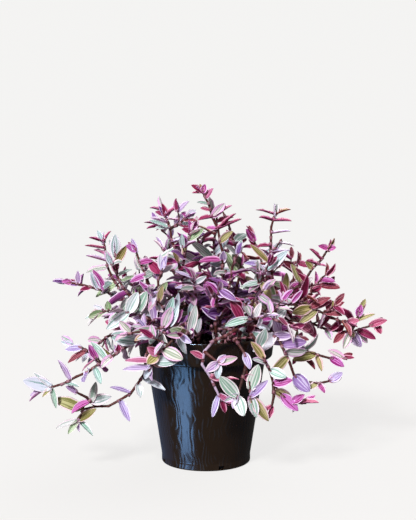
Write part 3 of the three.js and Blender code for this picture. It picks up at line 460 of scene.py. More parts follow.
PLACED = (
    Shoot("left_long_trailer", Tint.MINT, 34, (-38, -24),
        route=((-47, -38, 141), (-58, -52, 139), (-83, -60, 126), (-118, -62, 104), (-151, -56, 88),
        (-164, -54, 83)),
        branch=((-103, -62, 114), (-112, -58, 122), (-124, -56, 130), (-132, -55, 131)),
        aimed=leaves((-155, 89, -179, 96, 4, 14, 15, WHITE), (-153, 90, -169, 103, 2, 7, 45, WHITE),
        (-153, 86, -147, 68, 4, 8, 30, MINT), (-154, 87, -160, 80, 7, 6, 45, OLIVE),
        (-132, 99, -144, 117, 2, 8, 40, LILAC), (-139, 94, -124, 91, 4, 7, 65, MINT),
        (-110, 108, -102, 94, 5, 9, 30, MINT), (-97, 120, -112, 135, 2, 9, 35, MINT),
        (-86, 119, -102, 110, 5, 10, 35, BLUSH), (-84, 120, -86, 132, 1, 7, 60, MAROON),
        (-70, 134, -92, 139, 5, 13, 15, MINT), (-108, 119, -114, 132, 3, 9, 20, MAGENTA),
        (-120, 124, -137, 127, 4, 9, 25, LILAC), (-121, 120, -135, 114, 4, 8, 45, BRICK))),
    Shoot("left_front_trailer", Tint.MINT, 26, (-28, -36),
        route=((-38, -48, 140), (-49, -58, 140), (-57, -64, 128), (-59, -64, 108), (-68, -60, 90),
        (-86, -56, 74), (-104, -54, 68), (-119, -53, 68), (-126, -52, 54)),
        branch=((-111, -54, 68), (-118, -56, 78), (-128, -57, 84)),
        aimed=leaves((-113, 74, -108, 94, 2, 9, 25, MINT), (-114, 73, -93, 80, 5, 11, 20, WHITE),
        (-123, 68, -149, 78, 4, 14, 20, OLIVE), (-123, 56, -108, 67, 4, 10, 25, OLIVE),
        (-126, 51, -148, 47, 4, 8, 50, MINT), (-124, 48, -111, 40, 4, 7, 55, MINT),
        (-126, 49, -136, 42, 6, 8, 35, GREEN), (-85, 72, -75, 55, 4, 10, 25, LILAC),
        (-73, 84, -94, 90, 3, 8, 70, LILAC), (-60, 98, -39, 88, 6, 9, 55, WHITE),
        (-64, 94, -64, 80, 4, 9, 20, WHITE))),
    Shoot("left_arch", Tint.MAUVE, 40, (-26, -8),
        route=((-42, -12, 150), (-63, -15, 164), (-86, -17, 171), (-116, -18, 183), (-142, -20, 187)),
        aimed=leaves((-134, 186, -144, 189, 4, 8, 30, MAGENTA), (-126, 188, -128, 199, 2, 7, 50, LILAC),
        (-116, 183, -126, 180, 4, 7, 50, MAROON), (-109, 182, -115, 198, 3, 9, 30, WHITE),
        (-95, 187, -113, 200, 3, 9, 30, MAGENTA), (-94, 186, -99, 177, 5, 9, 25, MINT),
        (-91, 186, -86, 173, 4, 10, 20, WHITE), (-82, 169, -97, 170, 4, 8, 40, ROSE))),
    Shoot("left_front_arch", Tint.MINT, 26, (-22, -28),
        route=((-30, -36, 141), (-45, -40, 150), (-74, -42, 160), (-93, -40, 163), (-108, -40, 157)),
        aimed=leaves((-75, 158, -67, 181, 3, 13, 15, WHITE), (-72, 159, -58, 182, 3, 12, 15, MINT),
        (-97, 156, -116, 156, 4, 10, 20, GREEN), (-94, 161, -97, 172, 2, 9, 25, GREEN),
        (-78, 158, -98, 145, 6, 13, 15, WHITE), (-67, 157, -83, 143, 8, 9, 30, LILAC),
        (-54, 153, -54, 181, 3, 10, 35, LILAC))),
    Shoot("left_upright", Tint.MINT, 50, (-36, 2),
        route=((-54, 0, 152), (-78, -3, 172), (-93, -5, 185), (-100, -5, 206), (-103, -5, 226)),
        aimed=leaves((-103, 225, -118, 231, 2, 8, 80, MAROON), (-103, 225, -96, 238, 2, 8, 70, MAROON),
        (-103, 220, -122, 223, 4, 8, 85, MAROON), (-100, 211, -113, 219, 3, 9, 70, ROSE),
        (-100, 209, -121, 213, 4, 9, 80, LILAC))),
    Shoot("left_inner_upright", Tint.MINT, 40, (-18, -16),
        route=((-34, -21, 152), (-60, -25, 167), (-80, -25, 177), (-88, -23, 196), (-91, -22, 220)),
        aimed=leaves((-91, 216, -90, 236, 2, 11, 15, WHITE), (-91, 209, -79, 225, 2, 10, 20, OLIVE))),
    Shoot("left_crown_upright", Tint.MAUVE, 36, (-14, -24),
        route=((-28, -32, 152), (-52, -34, 173), (-60, -32, 195), (-69, -30, 220)),
        aimed=leaves((-68, 218, -79, 226, 4, 10, 30, MAGENTA), (-66, 210, -52, 211, 5, 9, 40, MAGENTA),
        (-61, 196, -75, 190, 5, 9, 35, MAGENTA))),
    Shoot("centre_left_tall", Tint.MAUVE, 40, (-8, 6),
        route=((-14, 4, 150), (-22, 2, 185), (-30, 0, 214), (-37, 0, 238), (-41, 0, 252)),
        branch=((-36, 0, 235), (-27, -4, 245), (-19, -6, 252)),
        aimed=leaves((-41, 250, -51, 257, 2, 8, 45, ROSE), (-40, 249, -29, 261, 2, 8, 80, MAROON),
        (-40, 246, -56, 251, 4, 8, 80, LILAC), (-38, 241, -57, 248, 4, 9, 60, WHITE),
        (-37, 237, -52, 240, 4, 8, 65, MINT), (-21, 251, -25, 256, 2, 7, 30, MAGENTA),
        (-19, 252, -10, 259, 3, 9, 20, WHITE))),
    Shoot("centre_tallest", Tint.MAUVE, 46, (8, -4),
        route=((12, -6, 160), (17, -7, 195), (15, -8, 226), (5, -8, 257), (-3, -8, 276)),
        aimed=leaves((-4, 276, -15, 284, 2, 8, 40, MAROON), (-4, 277, -1, 285, 1, 8, 30, MAGENTA),
        (-3, 274, -14, 276, 3, 6, 60, MAROON), (-1, 270, 7, 281, 2, 8, 50, ROSE),
        (3, 265, -9, 267, 4, 8, 60, MINT), (5, 258, -6, 261, 4, 7, 60, ROSE),
        (7, 250, -8, 249, 4, 8, 70, MAROON), (8, 252, 19, 266, 2, 10, 25, BLUSH),
        (10, 251, 26, 264, 3, 9, 60, ROSE), (14, 242, 30, 256, 3, 9, 80, MAROON),
        (16, 237, 36, 250, 4, 9, 80, MAROON), (13, 240, 0, 241, 4, 8, 60, MAGENTA),
        (16, 227, 27, 238, 4, 10, 20, OLIVE))),
    Shoot("centre_right_tall", Tint.MAUVE, 40, (18, 8),
        route=((27, 6, 155), (33, 5, 187), (32, 5, 210), (25, 5, 236), (17, 5, 256)),
        aimed=leaves((33, 190, 19, 216, 8, 12, 15, GREEN))),
    Shoot("right_inner_tall", Tint.BRICK, 36, (28, 14),
        route=((42, 14, 150), (57, 14, 175), (58, 14, 197), (53, 14, 216), (47, 14, 231)),
        aimed=leaves((49, 225, 41, 238, 3, 10, 25, MAGENTA), (54, 212, 43, 227, 3, 8, 60, MAROON),
        (57, 206, 78, 224, 3, 11, 20, WHITE), (57, 197, 39, 203, 6, 9, 50, LILAC),
        (58, 195, 49, 183, 8, 10, 20, MINT))),
    Shoot("right_upright", Tint.MINT, 40, (30, -4),
        route=((48, -5, 150), (66, -5, 184), (66, -5, 210), (65, -5, 232), (69, -5, 254)),
        aimed=leaves((68, 254, 50, 260, 3, 8, 85, MAROON), (69, 254, 85, 260, 3, 9, 75, OLIVE),
        (68, 250, 86, 248, 4, 8, 85, MAROON), (67, 245, 53, 252, 3, 8, 85, MAROON),
        (66, 235, 85, 238, 4, 8, 85, LILAC), (66, 223, 51, 222, 5, 8, 75, MAROON),
        (66, 216, 85, 218, 4, 9, 85, LILAC))),
    Shoot("centre_front_upright", Tint.MAUVE, 30, (12, -22),
        route=((15, -27, 150), (20, -29, 172), (25, -29, 195), (30, -29, 217))),
    Shoot("centre_left_upright", Tint.MAUVE, 30, (-8, -12),
        route=((-15, -15, 150), (-22, -15, 180), (-23, -15, 207), (-15, -15, 236)),
        aimed=leaves((-14, 153, -10, 171, 8, 10, 25, WHITE), (-16, 151, -32, 150, 8, 11, 20, GREEN),
        (-15, 235, -24, 241, 2, 8, 45, MAROON), (-15, 235, -6, 240, 3, 7, 50, MAGENTA),
        (-15, 229, -2, 241, 3, 10, 20, GREEN))),
    Shoot("left_front_crown", Tint.MINT, 24, (-20, -38),
        route=((-33, -46, 146), (-45, -48, 168), (-47, -47, 188), (-42, -46, 205)),
        aimed=leaves((-35, 158, -32, 177, 3, 10, 20, MINT), (-43, 181, -38, 192, 3, 9, 20, GREEN))),
    Shoot("right_arch", Tint.BRICK, 36, (38, -2),
        route=((56, -4, 146), (80, -5, 168), (97, -5, 185), (113, -5, 205), (123, -5, 219)),
        aimed=leaves((122, 217, 113, 223, 3, 8, 30, MAGENTA), (122, 218, 131, 221, 2, 8, 30, MAGENTA),
        (117, 211, 104, 220, 3, 8, 80, MAROON), (112, 204, 101, 208, 3, 8, 80, MAROON),
        (112, 204, 122, 202, 3, 8, 80, ROSE), (108, 198, 100, 207, 3, 9, 30, OLIVE))),
    Shoot("right_level_arch", Tint.BRICK, 32, (36, -14),
        route=((53, -18, 150), (71, -20, 171), (90, -20, 182), (120, -20, 184)),
        aimed=leaves((103, 184, 91, 197, 3, 8, 50, MAROON), (116, 184, 134, 182, 4, 9, 40, BRICK),
        (97, 183, 107, 193, 3, 9, 25, WHITE))),
    Shoot("right_long_trailer", Tint.BRICK, 26, (42, -10),
        route=((57, -12, 144), (79, -15, 149), (104, -15, 145), (130, -15, 137), (150, -15, 137),
        (171, -15, 144)),
        branch=((146, -15, 137), (151, -15, 148), (155, -15, 158)),
        aimed=leaves((101, 144, 111, 131, 6, 10, 20, ROSE), (130, 137, 139, 143, 3, 9, 30, MAROON),
        (154, 155, 156, 164, 2, 9, 30, MAGENTA), (153, 149, 170, 155, 3, 8, 60, OLIVE),
        (150, 142, 131, 148, 3, 8, 75, MAROON), (165, 141, 182, 149, 4, 10, 30, ROSE),
        (155, 137, 171, 130, 5, 10, 30, MAROON), (147, 137, 156, 122, 6, 11, 15, LILAC),
        (143, 137, 138, 120, 6, 10, 20, BLUSH))),
    Shoot("right_front_arch", Tint.BRICK, 26, (34, -26),
        route=((50, -32, 151), (73, -35, 167), (93, -35, 169), (112, -35, 160), (141, -35, 148)),
        aimed=leaves((105, 166, 123, 175, 4, 10, 35, BRICK), (101, 166, 85, 160, 8, 11, 20, OLIVE),
        (116, 159, 135, 157, 4, 9, 50, BRICK), (108, 163, 91, 149, 8, 10, 20, OLIVE),
        (86, 168, 62, 176, 4, 10, 50, BLUSH))),
    Shoot("right_low_trailer", Tint.BRICK, 28, (50, -14),
        route=((58, -26, 139), (69, -38, 139), (87, -46, 129), (111, -47, 118), (136, -45, 115)),
        aimed=leaves((122, 119, 136, 108, 4, 10, 25, MAGENTA), (112, 121, 114, 103, 4, 8, 60, OLIVE),
        (135, 116, 120, 124, 3, 9, 35, BLUSH), (106, 123, 85, 115, 6, 11, 20, OLIVE),
        (82, 133, 59, 134, 8, 11, 30, LILAC), (68, 139, 85, 147, 3, 10, 40, MAGENTA))),
    Shoot("right_front_trailer", Tint.MAUVE, 30, (47, -26),
        route=((54, -42, 140), (62, -54, 142), (72, -62, 135), (79, -65, 121), (85, -64, 104),
        (100, -62, 94), (122, -61, 96)),
        aimed=leaves((87, 103, 101, 87, 4, 16, 10, LILAC), (110, 95, 116, 85, 4, 8, 40, MAGENTA),
        (108, 94, 100, 89, 4, 8, 40, OLIVE), (119, 96, 133, 105, 3, 10, 30, LILAC),
        (55, 140, 65, 159, 4, 11, 15, WHITE))),
    Shoot("front_right_trailer", Tint.MAUVE, 34, (40, -38),
        route=((42, -54, 141), (46, -70, 142), (53, -80, 129), (61, -80, 110), (69, -78, 90), (80, -77, 80),
        (97, -76, 77)),
        branch=((67, -79, 94), (66, -82, 84), (63, -84, 74)),
        aimed=leaves((61, 116, 44, 122, 3, 9, 50, BLUSH), (58, 121, 43, 139, 3, 10, 30, OLIVE),
        (62, 112, 77, 105, 6, 11, 20, MINT), (67, 98, 83, 102, 5, 11, 25, MAGENTA),
        (72, 82, 89, 71, 5, 11, 20, MAGENTA), (81, 79, 95, 87, 4, 10, 25, MAGENTA),
        (92, 77, 109, 79, 4, 9, 75, ROSE))),
    Shoot("front_centre_trailer", Tint.MAUVE, 44, (30, -42),
        route=((33, -56, 143), (30, -70, 148), (18, -79, 144), (5, -83, 137), (-4, -83, 126),
        (-1, -82, 112), (10, -80, 93), (15, -80, 80)),
        branch=((-3, -83, 125), (4, -88, 122), (12, -91, 120)),
        aimed=leaves((-3, 125, -15, 130, 4, 8, 40, ROSE), (11, 118, 0, 112, 4, 10, 15, LILAC),
        (12, 118, 19, 128, 2, 8, 30, LILAC), (12, 117, 30, 126, 4, 10, 20, BLUSH),
        (11, 117, 11, 105, 4, 9, 20, WHITE), (4, 104, 15, 102, 6, 8, 45, ROSE),
        (8, 101, 32, 104, 4, 8, 80, ROSE), (14, 84, 25, 78, 4, 8, 45, ROSE),
        (13, 85, 6, 65, 4, 7, 50, LILAC))),
    Shoot("front_mint_trailer", Tint.MINT, 36, (16, -46),
        route=((21, -60, 138), (28, -74, 140), (35, -86, 131), (39, -88, 112), (43, -87, 86)),
        branch=((39, -88, 108), (34, -91, 98), (30, -93, 88)),
        aimed=leaves((31, 89, 13, 108, 3, 13, 15, MINT), (42, 91, 50, 118, 3, 13, 15, MINT),
        (34, 88, 36, 70, 6, 13, 10, WHITE), (41, 87, 48, 67, 6, 11, 20, MINT),
        (43, 86, 60, 63, 4, 12, 15, OLIVE), (43, 88, 59, 103, 3, 10, 25, LILAC),
        (35, 129, 42, 114, 6, 9, 25, LILAC))),
    Shoot("front_left_trailer", Tint.MINT, 32, (-12, -44),
        route=((-16, -60, 142), (-24, -72, 145), (-35, -77, 137), (-46, -77, 125), (-53, -76, 112)),
        aimed=leaves((-46, 124, -56, 133, 4, 10, 20, ROSE), (-46, 122, -56, 118, 9, 11, 20, OLIVE),
        (-47, 120, -26, 120, 4, 12, 20, MINT), (-40, 133, -22, 122, 8, 13, 25, BLUSH),
        (-51, 117, -78, 120, 3, 8, 50, ROSE), (-52, 115, -80, 112, 5, 8, 40, LILAC))),
    Shoot("left_low_arch", Tint.MINT, 26, (-6, -34),
        route=((-12, -50, 145), (-26, -60, 152), (-42, -65, 149), (-60, -69, 146), (-78, -72, 144)),
        aimed=leaves((-46, 148, -72, 145, 4, 10, 20, BLUSH), (-54, 146, -69, 138, 6, 8, 35, OLIVE),
        (-44, 147, -54, 134, 5, 10, 20, MINT), (-40, 148, -33, 170, 3, 11, 20, BLUSH),
        (-35, 149, -27, 172, 3, 10, 25, WHITE), (-27, 150, -18, 138, 6, 10, 25, OLIVE))),
    Shoot("right_low_arch", Tint.MINT, 26, (14, -34),
        route=((19, -50, 143), (30, -62, 153), (48, -65, 159), (66, -65, 158), (84, -64, 149)),
        aimed=leaves((44, 156, 18, 152, 6, 10, 40, MINT), (45, 157, 53, 174, 2, 8, 45, WHITE))),
    Shoot("right_crown_upright", Tint.MINT, 30, (22, -30),
        route=((33, -39, 146), (44, -42, 163), (51, -42, 182), (62, -42, 210)),
        aimed=leaves((55, 192, 64, 175, 6, 10, 15, OLIVE), (53, 186, 34, 187, 6, 10, 35, MINT))),
    Shoot("right_back_upright", Tint.BRICK, 30, (40, 10),
        route=((58, 12, 144), (77, 14, 158), (87, 14, 175), (94, 14, 203)),
        aimed=leaves((84, 167, 78, 186, 4, 9, 30, ROSE), (88, 176, 96, 182, 3, 10, 25, MAGENTA))),
)

ARCHED = (
    arch("back_tall", Tint.MAUVE, 102, 20, 44, 116, 0),
    arch("back_right_tall", Tint.MAUVE, 66, 28, 60, 98, 0),
    arch("back_left_tall", Tint.MINT, 136, 24, 66, 94, 0),
    arch("back_left_arch", Tint.MINT, 160, 34, 98, 66, 6),
    arch("back_right_arch", Tint.BRICK, 31, 43, 106, 60, 8),
    arch("back_right_crown", Tint.BRICK, 50, 38, 88, 62, 4),
    arch("back_crown", Tint.MAUVE, 88, 38, 82, 60, 4),
    arch("back_left_crown", Tint.MINT, 120, 40, 90, 46, 6),
    arch("back_left_low", Tint.MINT, 147, 44, 108, 38, 12),
    arch("front_left_crown", Tint.MAUVE, 252, 20, 42, 72, 0),
    arch("front_crown", Tint.MAUVE, 282, 44, 62, 66, 2),
    arch("front_right_crown", Tint.MAUVE, 304, 46, 72, 56, 4),
    arch("left_crown", Tint.MINT, 186, 46, 94, 34, 6),
    arch("right_crown", Tint.BRICK, 352, 50, 92, 44, 6),
    arch("centre_back_tall", Tint.MAUVE, 60, 10, 22, 128, 0),
    arch("back_low_right", Tint.BRICK, 58, 50, 94, 34, 10),
    arch("back_low", Tint.MAUVE, 94, 50, 90, 32, 8),
    arch("left_back_low", Tint.MINT, 165, 51, 94, 36, 8),
    arch("right_back_low", Tint.BRICK, 9, 52, 98, 32, 8),
)

HUNG = (
    hanger("back_right_trailer", Tint.BRICK, 34, 126, 34),
    hanger("back_trailer", Tint.MAUVE, 76, 106, 66),
    hanger("back_left_trailer", Tint.MINT, 108, 112, 50),
    hanger("left_back_trailer", Tint.MINT, 134, 124, 40),
    hanger("left_side_trailer", Tint.MINT, 176, 122, 24),
)


# Leaves that only the looks have. Each grows from the foremost stem near its root.
FOREMOST = leaves(
    (6, 212, -16, 228, 20, 10, 20, MINT), (6, 216, 23, 229, 18, 8, 25, WHITE),
    (37, 199, 18, 222, 22, 13, 15, GREEN), (-7, 208, -26, 214, 18, 9, 25, WHITE),
    (-34, 214, -50, 209, 8, 6, 60, MINT), (-7, 199, -22, 207, 8, 7, 50, MAGENTA),
    (-1, 201, 10, 210, 8, 7, 25, LILAC), (15, 203, 18, 218, 8, 8, 20, LILAC),
    (59, 215, 43, 229, 8, 7, 30, OLIVE), (55, 185, 35, 188, 10, 8, 40, MINT),
    (65, 172, 59, 191, 10, 11, 15, GREEN), (-10, 179, -30, 186, 10, 7, 45, LILAC),
    (-8, 185, -14, 199, 8, 7, 20, WHITE), (-7, 184, -1, 197, 8, 6, 30, WHITE),
    (-16, 192, -30, 202, 8, 6, 60, LILAC), (-47, 178, -42, 189, 8, 8, 20, OLIVE),
    (1, 190, 8, 201, 8, 8, 25, MINT), (-28, 161, -27, 180, 8, 7, 20, WHITE),
    (-22, 136, -23, 150, 8, 9, 15, OLIVE), (-10, 136, -13, 149, 8, 7, 30, MAGENTA),
    (86, 167, 63, 174, 8, 8, 35, BLUSH), (90, 158, 108, 171, 8, 11, 20, OLIVE),
    (110, 167, 123, 174, 6, 9, 30, MAROON), (111, 149, 125, 153, 6, 8, 30, MAROON),
    (96, 149, 108, 136, 8, 11, 15, ROSE), (63, 135, 84, 141, 8, 10, 25, LILAC),
    (95, 131, 89, 140, 8, 8, 20, LILAC), (45, 168, 41, 178, 8, 8, 15, LILAC),
    (74, 173, 76, 187, 8, 8, 15, BRICK), (80, 172, 74, 191, 8, 7, 25, MAROON),
    (86, 180, 80, 198, 8, 8, 20, OLIVE), (106, 190, 91, 199, 6, 7, 50, BRICK),
    (81, 147, 70, 161, 8, 6, 40, ROSE), (88, 174, 95, 183, 8, 6, 30, MAGENTA),
    (-19, 243, -9, 249, 6, 6, 60, BRICK), (-30, 229, -40, 234, 6, 6, 60, MAGENTA),
    (-36, 222, -22, 230, 6, 6, 70, LILAC), (20, 185, 29, 177, 8, 8, 25, PURPLE),
    (9, 173, 18, 183, 8, 7, 30, PURPLE), (25, 162, 33, 171, 8, 7, 25, MAGENTA),
    (4, 157, -4, 168, 8, 7, 25, PURPLE), (-19, 171, -11, 163, 8, 7, 25, MAGENTA),
    (22, 189, 31, 197, 8, 6, 60, LILAC), (40, 203, 45, 193, 8, 7, 30, OLIVE),
    (-58, 207, -68, 217, 6, 8, 25, MINT), (-56, 182, -66, 191, 6, 7, 30, MAGENTA),
    (95, 206, 105, 199, 6, 8, 30, MAROON), (128, 138, 120, 147, 5, 8, 40, ROSE),
    (133, 137, 142, 147, 5, 8, 40, MAROON), (140, 136, 149, 129, 6, 8, 30, OLIVE),
    (160, 138, 165, 126, 6, 8, 25, BLUSH), (135, 136, 128, 126, 6, 8, 30, BRICK),
    (118, 141, 126, 130, 6, 9, 20, BLUSH), (168, 143, 176, 135, 5, 8, 30, MAROON),
    (60, 206, 79, 223, 12, 11, 20, WHITE), (-16, 149, -33, 150, 9, 11, 20, GREEN),
    (-15, 151, -10, 171, 6, 10, 20, WHITE),
)


def apart(point: Vector, middle: Triple, reach: Triple) -> float:
    """How far a point is from a middle, with the reach each way as 1."""
    return Vector([(point[k] - middle[k]) / reach[k] for k in range(3)]).length


# Places where the photograph shows no leaves but the aimed ones, by their middle and reach.
BARE_PLACES = (
    ((10, -78, 126), (36, 34, 19)), ((8, -40, 150), (14, 46, 12)),
    ((68, -60, 128), (13, 50, 14)), ((67, -5, 238), (14, 26, 20)),
    ((14, -5, 252), (20, 26, 15)), ((-52, -8, 226), (9, 26, 14)),
    ((38, -72, 141), (15, 24, 9)), ((27, -36, 209), (13, 34, 16)),
    ((-5, -34, 220), (13, 32, 12)), ((-66, -58, 77), (9, 14, 9)),
)


@dataclass(frozen=True)
class Knee:
    """A place on a stem: the lengths along it and left to its tip, the direction and the stem's radius."""

    along: float
    from_tip: float
    point: Vector
    tangent: Vector
    radius: float


@dataclass(frozen=True)
class Joint(Knee):
    """A place where a leaf grows, and the side on which it stands."""

    side: Vector


class Course:
    """The points of a smooth curve through a route, and the length along it at each one."""

    def __init__(self, route: Sequence[Triple]) -> None:
        """Follows the route.

        Args:
            route: The points that the curve runs through.
        """
        given = [Vector(point) for point in route]
        ends = [2 * given[0] - given[1], *given, 2 * given[-1] - given[-2]]
        spans, steps = len(given) - 1, GROWTH.curve_steps
        self.points = []
        for step in range(steps * spans + 1):
            span = min(step // steps, spans - 1)
            self.points.append(self._between(*ends[span : span + 4], step / steps - span))
        self.lengths = [0.0]
        for before, point in zip(self.points, self.points[1:]):
            self.lengths.append(self.lengths[-1] + (point - before).length)

    @staticmethod
    def _between(before: Vector, first: Vector, second: Vector, after: Vector, part: float) -> Vector:
        """A point of the curve between two of the route's points.

        Args:
            before: The point before them.
            first: The one point.
            second: The other point.
            after: The point after them.
            part: From 0 at the first to 1 at the second.

        Returns:
            The point.
        """
        leave, arrive = 0.5 * (second - before), 0.5 * (after - first)
        square = 3 * (second - first) - 2 * leave - arrive
        cube = 2 * (first - second) + leave + arrive
        return first + leave * part + square * part**2 + cube * part**3

    def at(self, along: float) -> tuple[Vector, Vector]:
        """A place on the curve.

        Args:
            along: The length along the curve.

        Returns:
            The point and the direction there.
        """
        i = 1
        while i < len(self.points) - 1 and self.lengths[i] < along:
            i += 1
        first, second = self.points[i - 1], self.points[i]
        part = (along - self.lengths[i - 1]) / (self.lengths[i] - self.lengths[i - 1])
        return first.lerp(second, part), (second - first).normalized()


class Axis:
    """A stem, branch or twig: its knees, which swing a little to either side, and the joints between them."""

    def __init__(
        self,
        route: Sequence[Triple],
        bare: float = GROWTH.spacing / 2,
        rooted: bool = False,
        spacing: float = GROWTH.spacing,
        radii: Pair = (GROWTH.root_radius, GROWTH.tip_radius),
    ) -> None:
        """Grows along a route.

        Args:
            route: The points that the stem runs through.
            bare: The length without leaves of its solid.
            rooted: Whether it stands in the soil.
            spacing: About how far apart its knees are.
            radii: Its radius at its root and at its tip.
        """
        course = Course(route)
        self.bare, self.rooted, self.radii, self.length = bare, rooted, radii, course.lengths[-1]
        count = max(round(self.length / spacing), 1)
        self.knees: list[Knee] = []
        for k in range(count + 1):
            along = k * self.length / count
            point, tangent = course.at(along)
            if 0 < k < count:
                across = tangent.cross(LIGHT.at(point)).normalized()
                point = point + across * (GROWTH.zigzag if k % 2 else -GROWTH.zigzag)
            self.knees.append(Knee(along, self.length - along, point, tangent, self.radius(along)))

    def radius(self, along: float) -> float:
        """The radius at a length along the stem."""
        return self.radii[0] + (self.radii[1] - self.radii[0]) * along / self.length

    @property
    def spans(self) -> Iterator[tuple[Knee, Knee]]:
        """The knees at the two ends of each span."""
        return zip(self.knees, self.knees[1:])

    @property
    def joints(self) -> Iterator[Joint]:
        """The joints halfway between the knees, with the leaves' sides in turn.

        Returns:
            The joints from the root up.
        """
        for k, (before, knee) in enumerate(self.spans):
            point = before.point.lerp(knee.point, 0.5)
            tangent = (knee.point - before.point).normalized()
            side = tangent.cross(LIGHT.at(point)).normalized() * (1 if k % 2 else -1)
            along = (before.along + knee.along) / 2
            yield Joint(along, self.length - along, point, tangent, self.radius(along), side)

    def nearest(self, place: Triple) -> Knee:
        """The knee that lies nearest to a place."""
        return min(self.knees, key=lambda knee: (knee.point - Vector(place)).length)


# Where the leaves stand


@dataclass(frozen=True)
class Turn:
    """A way in which a leaf may be turned to clear its neighbours, in degrees, with its scale."""

    roll: float
    pitch: float
    scale: float


TURNS = (
    Turn(0, 0, 1), Turn(28, 8, 1), Turn(-28, 8, 1), Turn(0, 24, 0.95), Turn(0, -24, 0.95),
    Turn(55, 12, 0.88), Turn(-55, 12, 0.88), Turn(20, 42, 0.8), Turn(-20, -42, 0.8),
)


@dataclass(frozen=True)
class Pose:
    """How a leaf stands: its root, its direction, the way its upper face looks, and its sizes.

    A slight one has a plainer solid, and age is how grown it is, from 0 to 1.
    """

    root: Vector
    along: Vector
    face: Vector
    length: float
    width: float
    droop: float
    slight: bool
    age: float

    @property
    def fresh(self) -> bool:
        """Whether the leaf is one of the youngest."""
        return self.age < LEAF.fresh_age

    @property
    def across(self) -> Vector:
        """The direction across the leaf."""
        return self.face.cross(self.along)

    def rib(self, place: float) -> Vector:
        """The middle of the leaf at a place along it, from 0 at its root to 1 at its tip."""
        sunk = self.length * self.droop * place * place
        return self.root + self.along * self.length * place - self.face * sunk

    def turned(self, turn: Turn) -> Pose:
        """The same leaf in another turn.

        Args:
            turn: The turn.

        Returns:
            The turned pose.
        """
        pitch = Quaternion(self.across, math.radians(turn.pitch))
        along = pitch @ self.along
        face = Quaternion(along, math.radians(turn.roll)) @ (pitch @ self.face)
        return replace(self, along=along, face=face).scaled(turn.scale)

    def scaled(self, scale: float) -> Pose:
        """The same leaf in another size."""
        return replace(self, length=self.length * scale, width=self.width * scale)


def turned_to(along: Vector, wanted: Vector, roll: float) -> Vector:
    """The way an upper face looks: as near as can be to a wanted one, then rolled by an angle in degrees."""
    face = (wanted - along * wanted.dot(along)).normalized()
    return Quaternion(along, math.radians(roll)) @ face


@dataclass(frozen=True)
class LeafRule:
    """The rule that grown leaves follow, here and in the solids. Pairs are the least and the most drawn.

    Leaves narrower than slight have a plainer solid, those younger than fresh_age look fresh, and none grows
    nearer than apart to an aimed one.
    """

    length: float = 27
    width: float = 13.5
    young_reach: float = 48
    young_size: float = 0.7
    young_spread: float = 58
    grown_spread: float = 80
    towards_light: float = 0.62
    slight: float = 10.4
    fresh_age: float = 0.45
    apart: float = 15
    size: Pair = (0.88, 1.1)
    spread: Pair = (-10, 10)
    sag: Pair = (-0.14, 0.32)
    roll: Pair = (-34, 34)
    slim: Pair = (0.9, 1.06)
    droop: Pair = (0.04, 0.2)

    def pose(self, joint: Joint, draw: Draw) -> Pose:
        """Draws how a leaf stands.

        Args:
            joint: The joint that it grows from.
            draw: The numbers to draw from.

        Returns:
            The leaf's pose.
        """
        age = min(joint.from_tip / self.young_reach, 1)
        size = (self.young_size + (1 - self.young_size) * age) * draw.between(*self.size)
        plain = self.young_spread + (self.grown_spread - self.young_spread) * age
        spread = math.radians(plain + draw.between(*self.spread))
        along = joint.tangent * math.cos(spread) + joint.side * math.sin(spread)
        along.z -= age * draw.between(*self.sag)
        along.normalize()
        wanted = LIGHT.at(joint.point).lerp(joint.tangent, 1 - self.towards_light)
        face = turned_to(along, wanted, draw.between(*self.roll))
        slim = draw.between(*self.slim)
        droop = age * draw.between(*self.droop)
        width = self.width * size * slim
        return Pose(joint.point, along, face, self.length * size, width, droop, width < self.slight, age)


@dataclass(frozen=True)
class TipRule:
    """The rule that the young leaves at a stem's tip follow, here and in the solids."""

    length: float = 14.5
    width: float = 7
    spread: float = 34
    sunk: float = 2.5
    rise: Pair = (-0.1, 0.25)
    roll: Pair = (-40, 40)
    size: Pair = (0.85, 1.15)

    def pose(self, knee: Knee, aside: float, draw: Draw) -> Pose:
        """Draws how a young leaf stands.

        Args:
            knee: The stem's last knee.
            aside: The share of the spread by which it is turned aside.
            draw: The numbers to draw from.

        Returns:
            The leaf's pose.
        """
        light = LIGHT.at(knee.point)
        along = Quaternion(light, math.radians(aside * self.spread)) @ knee.tangent
        along.z += draw.between(*self.rise)
        along.normalize()
        wanted = light.lerp(knee.tangent, 1 - LEAF.towards_light)
        face = turned_to(along, wanted, draw.between(*self.roll))
        size = draw.between(*self.size)
        root = knee.point - knee.tangent * self.sunk
        return Pose(root, along, face, self.length * size, self.width * size, 0, True, 0)


LEAF = LeafRule()
TIP = TipRule()


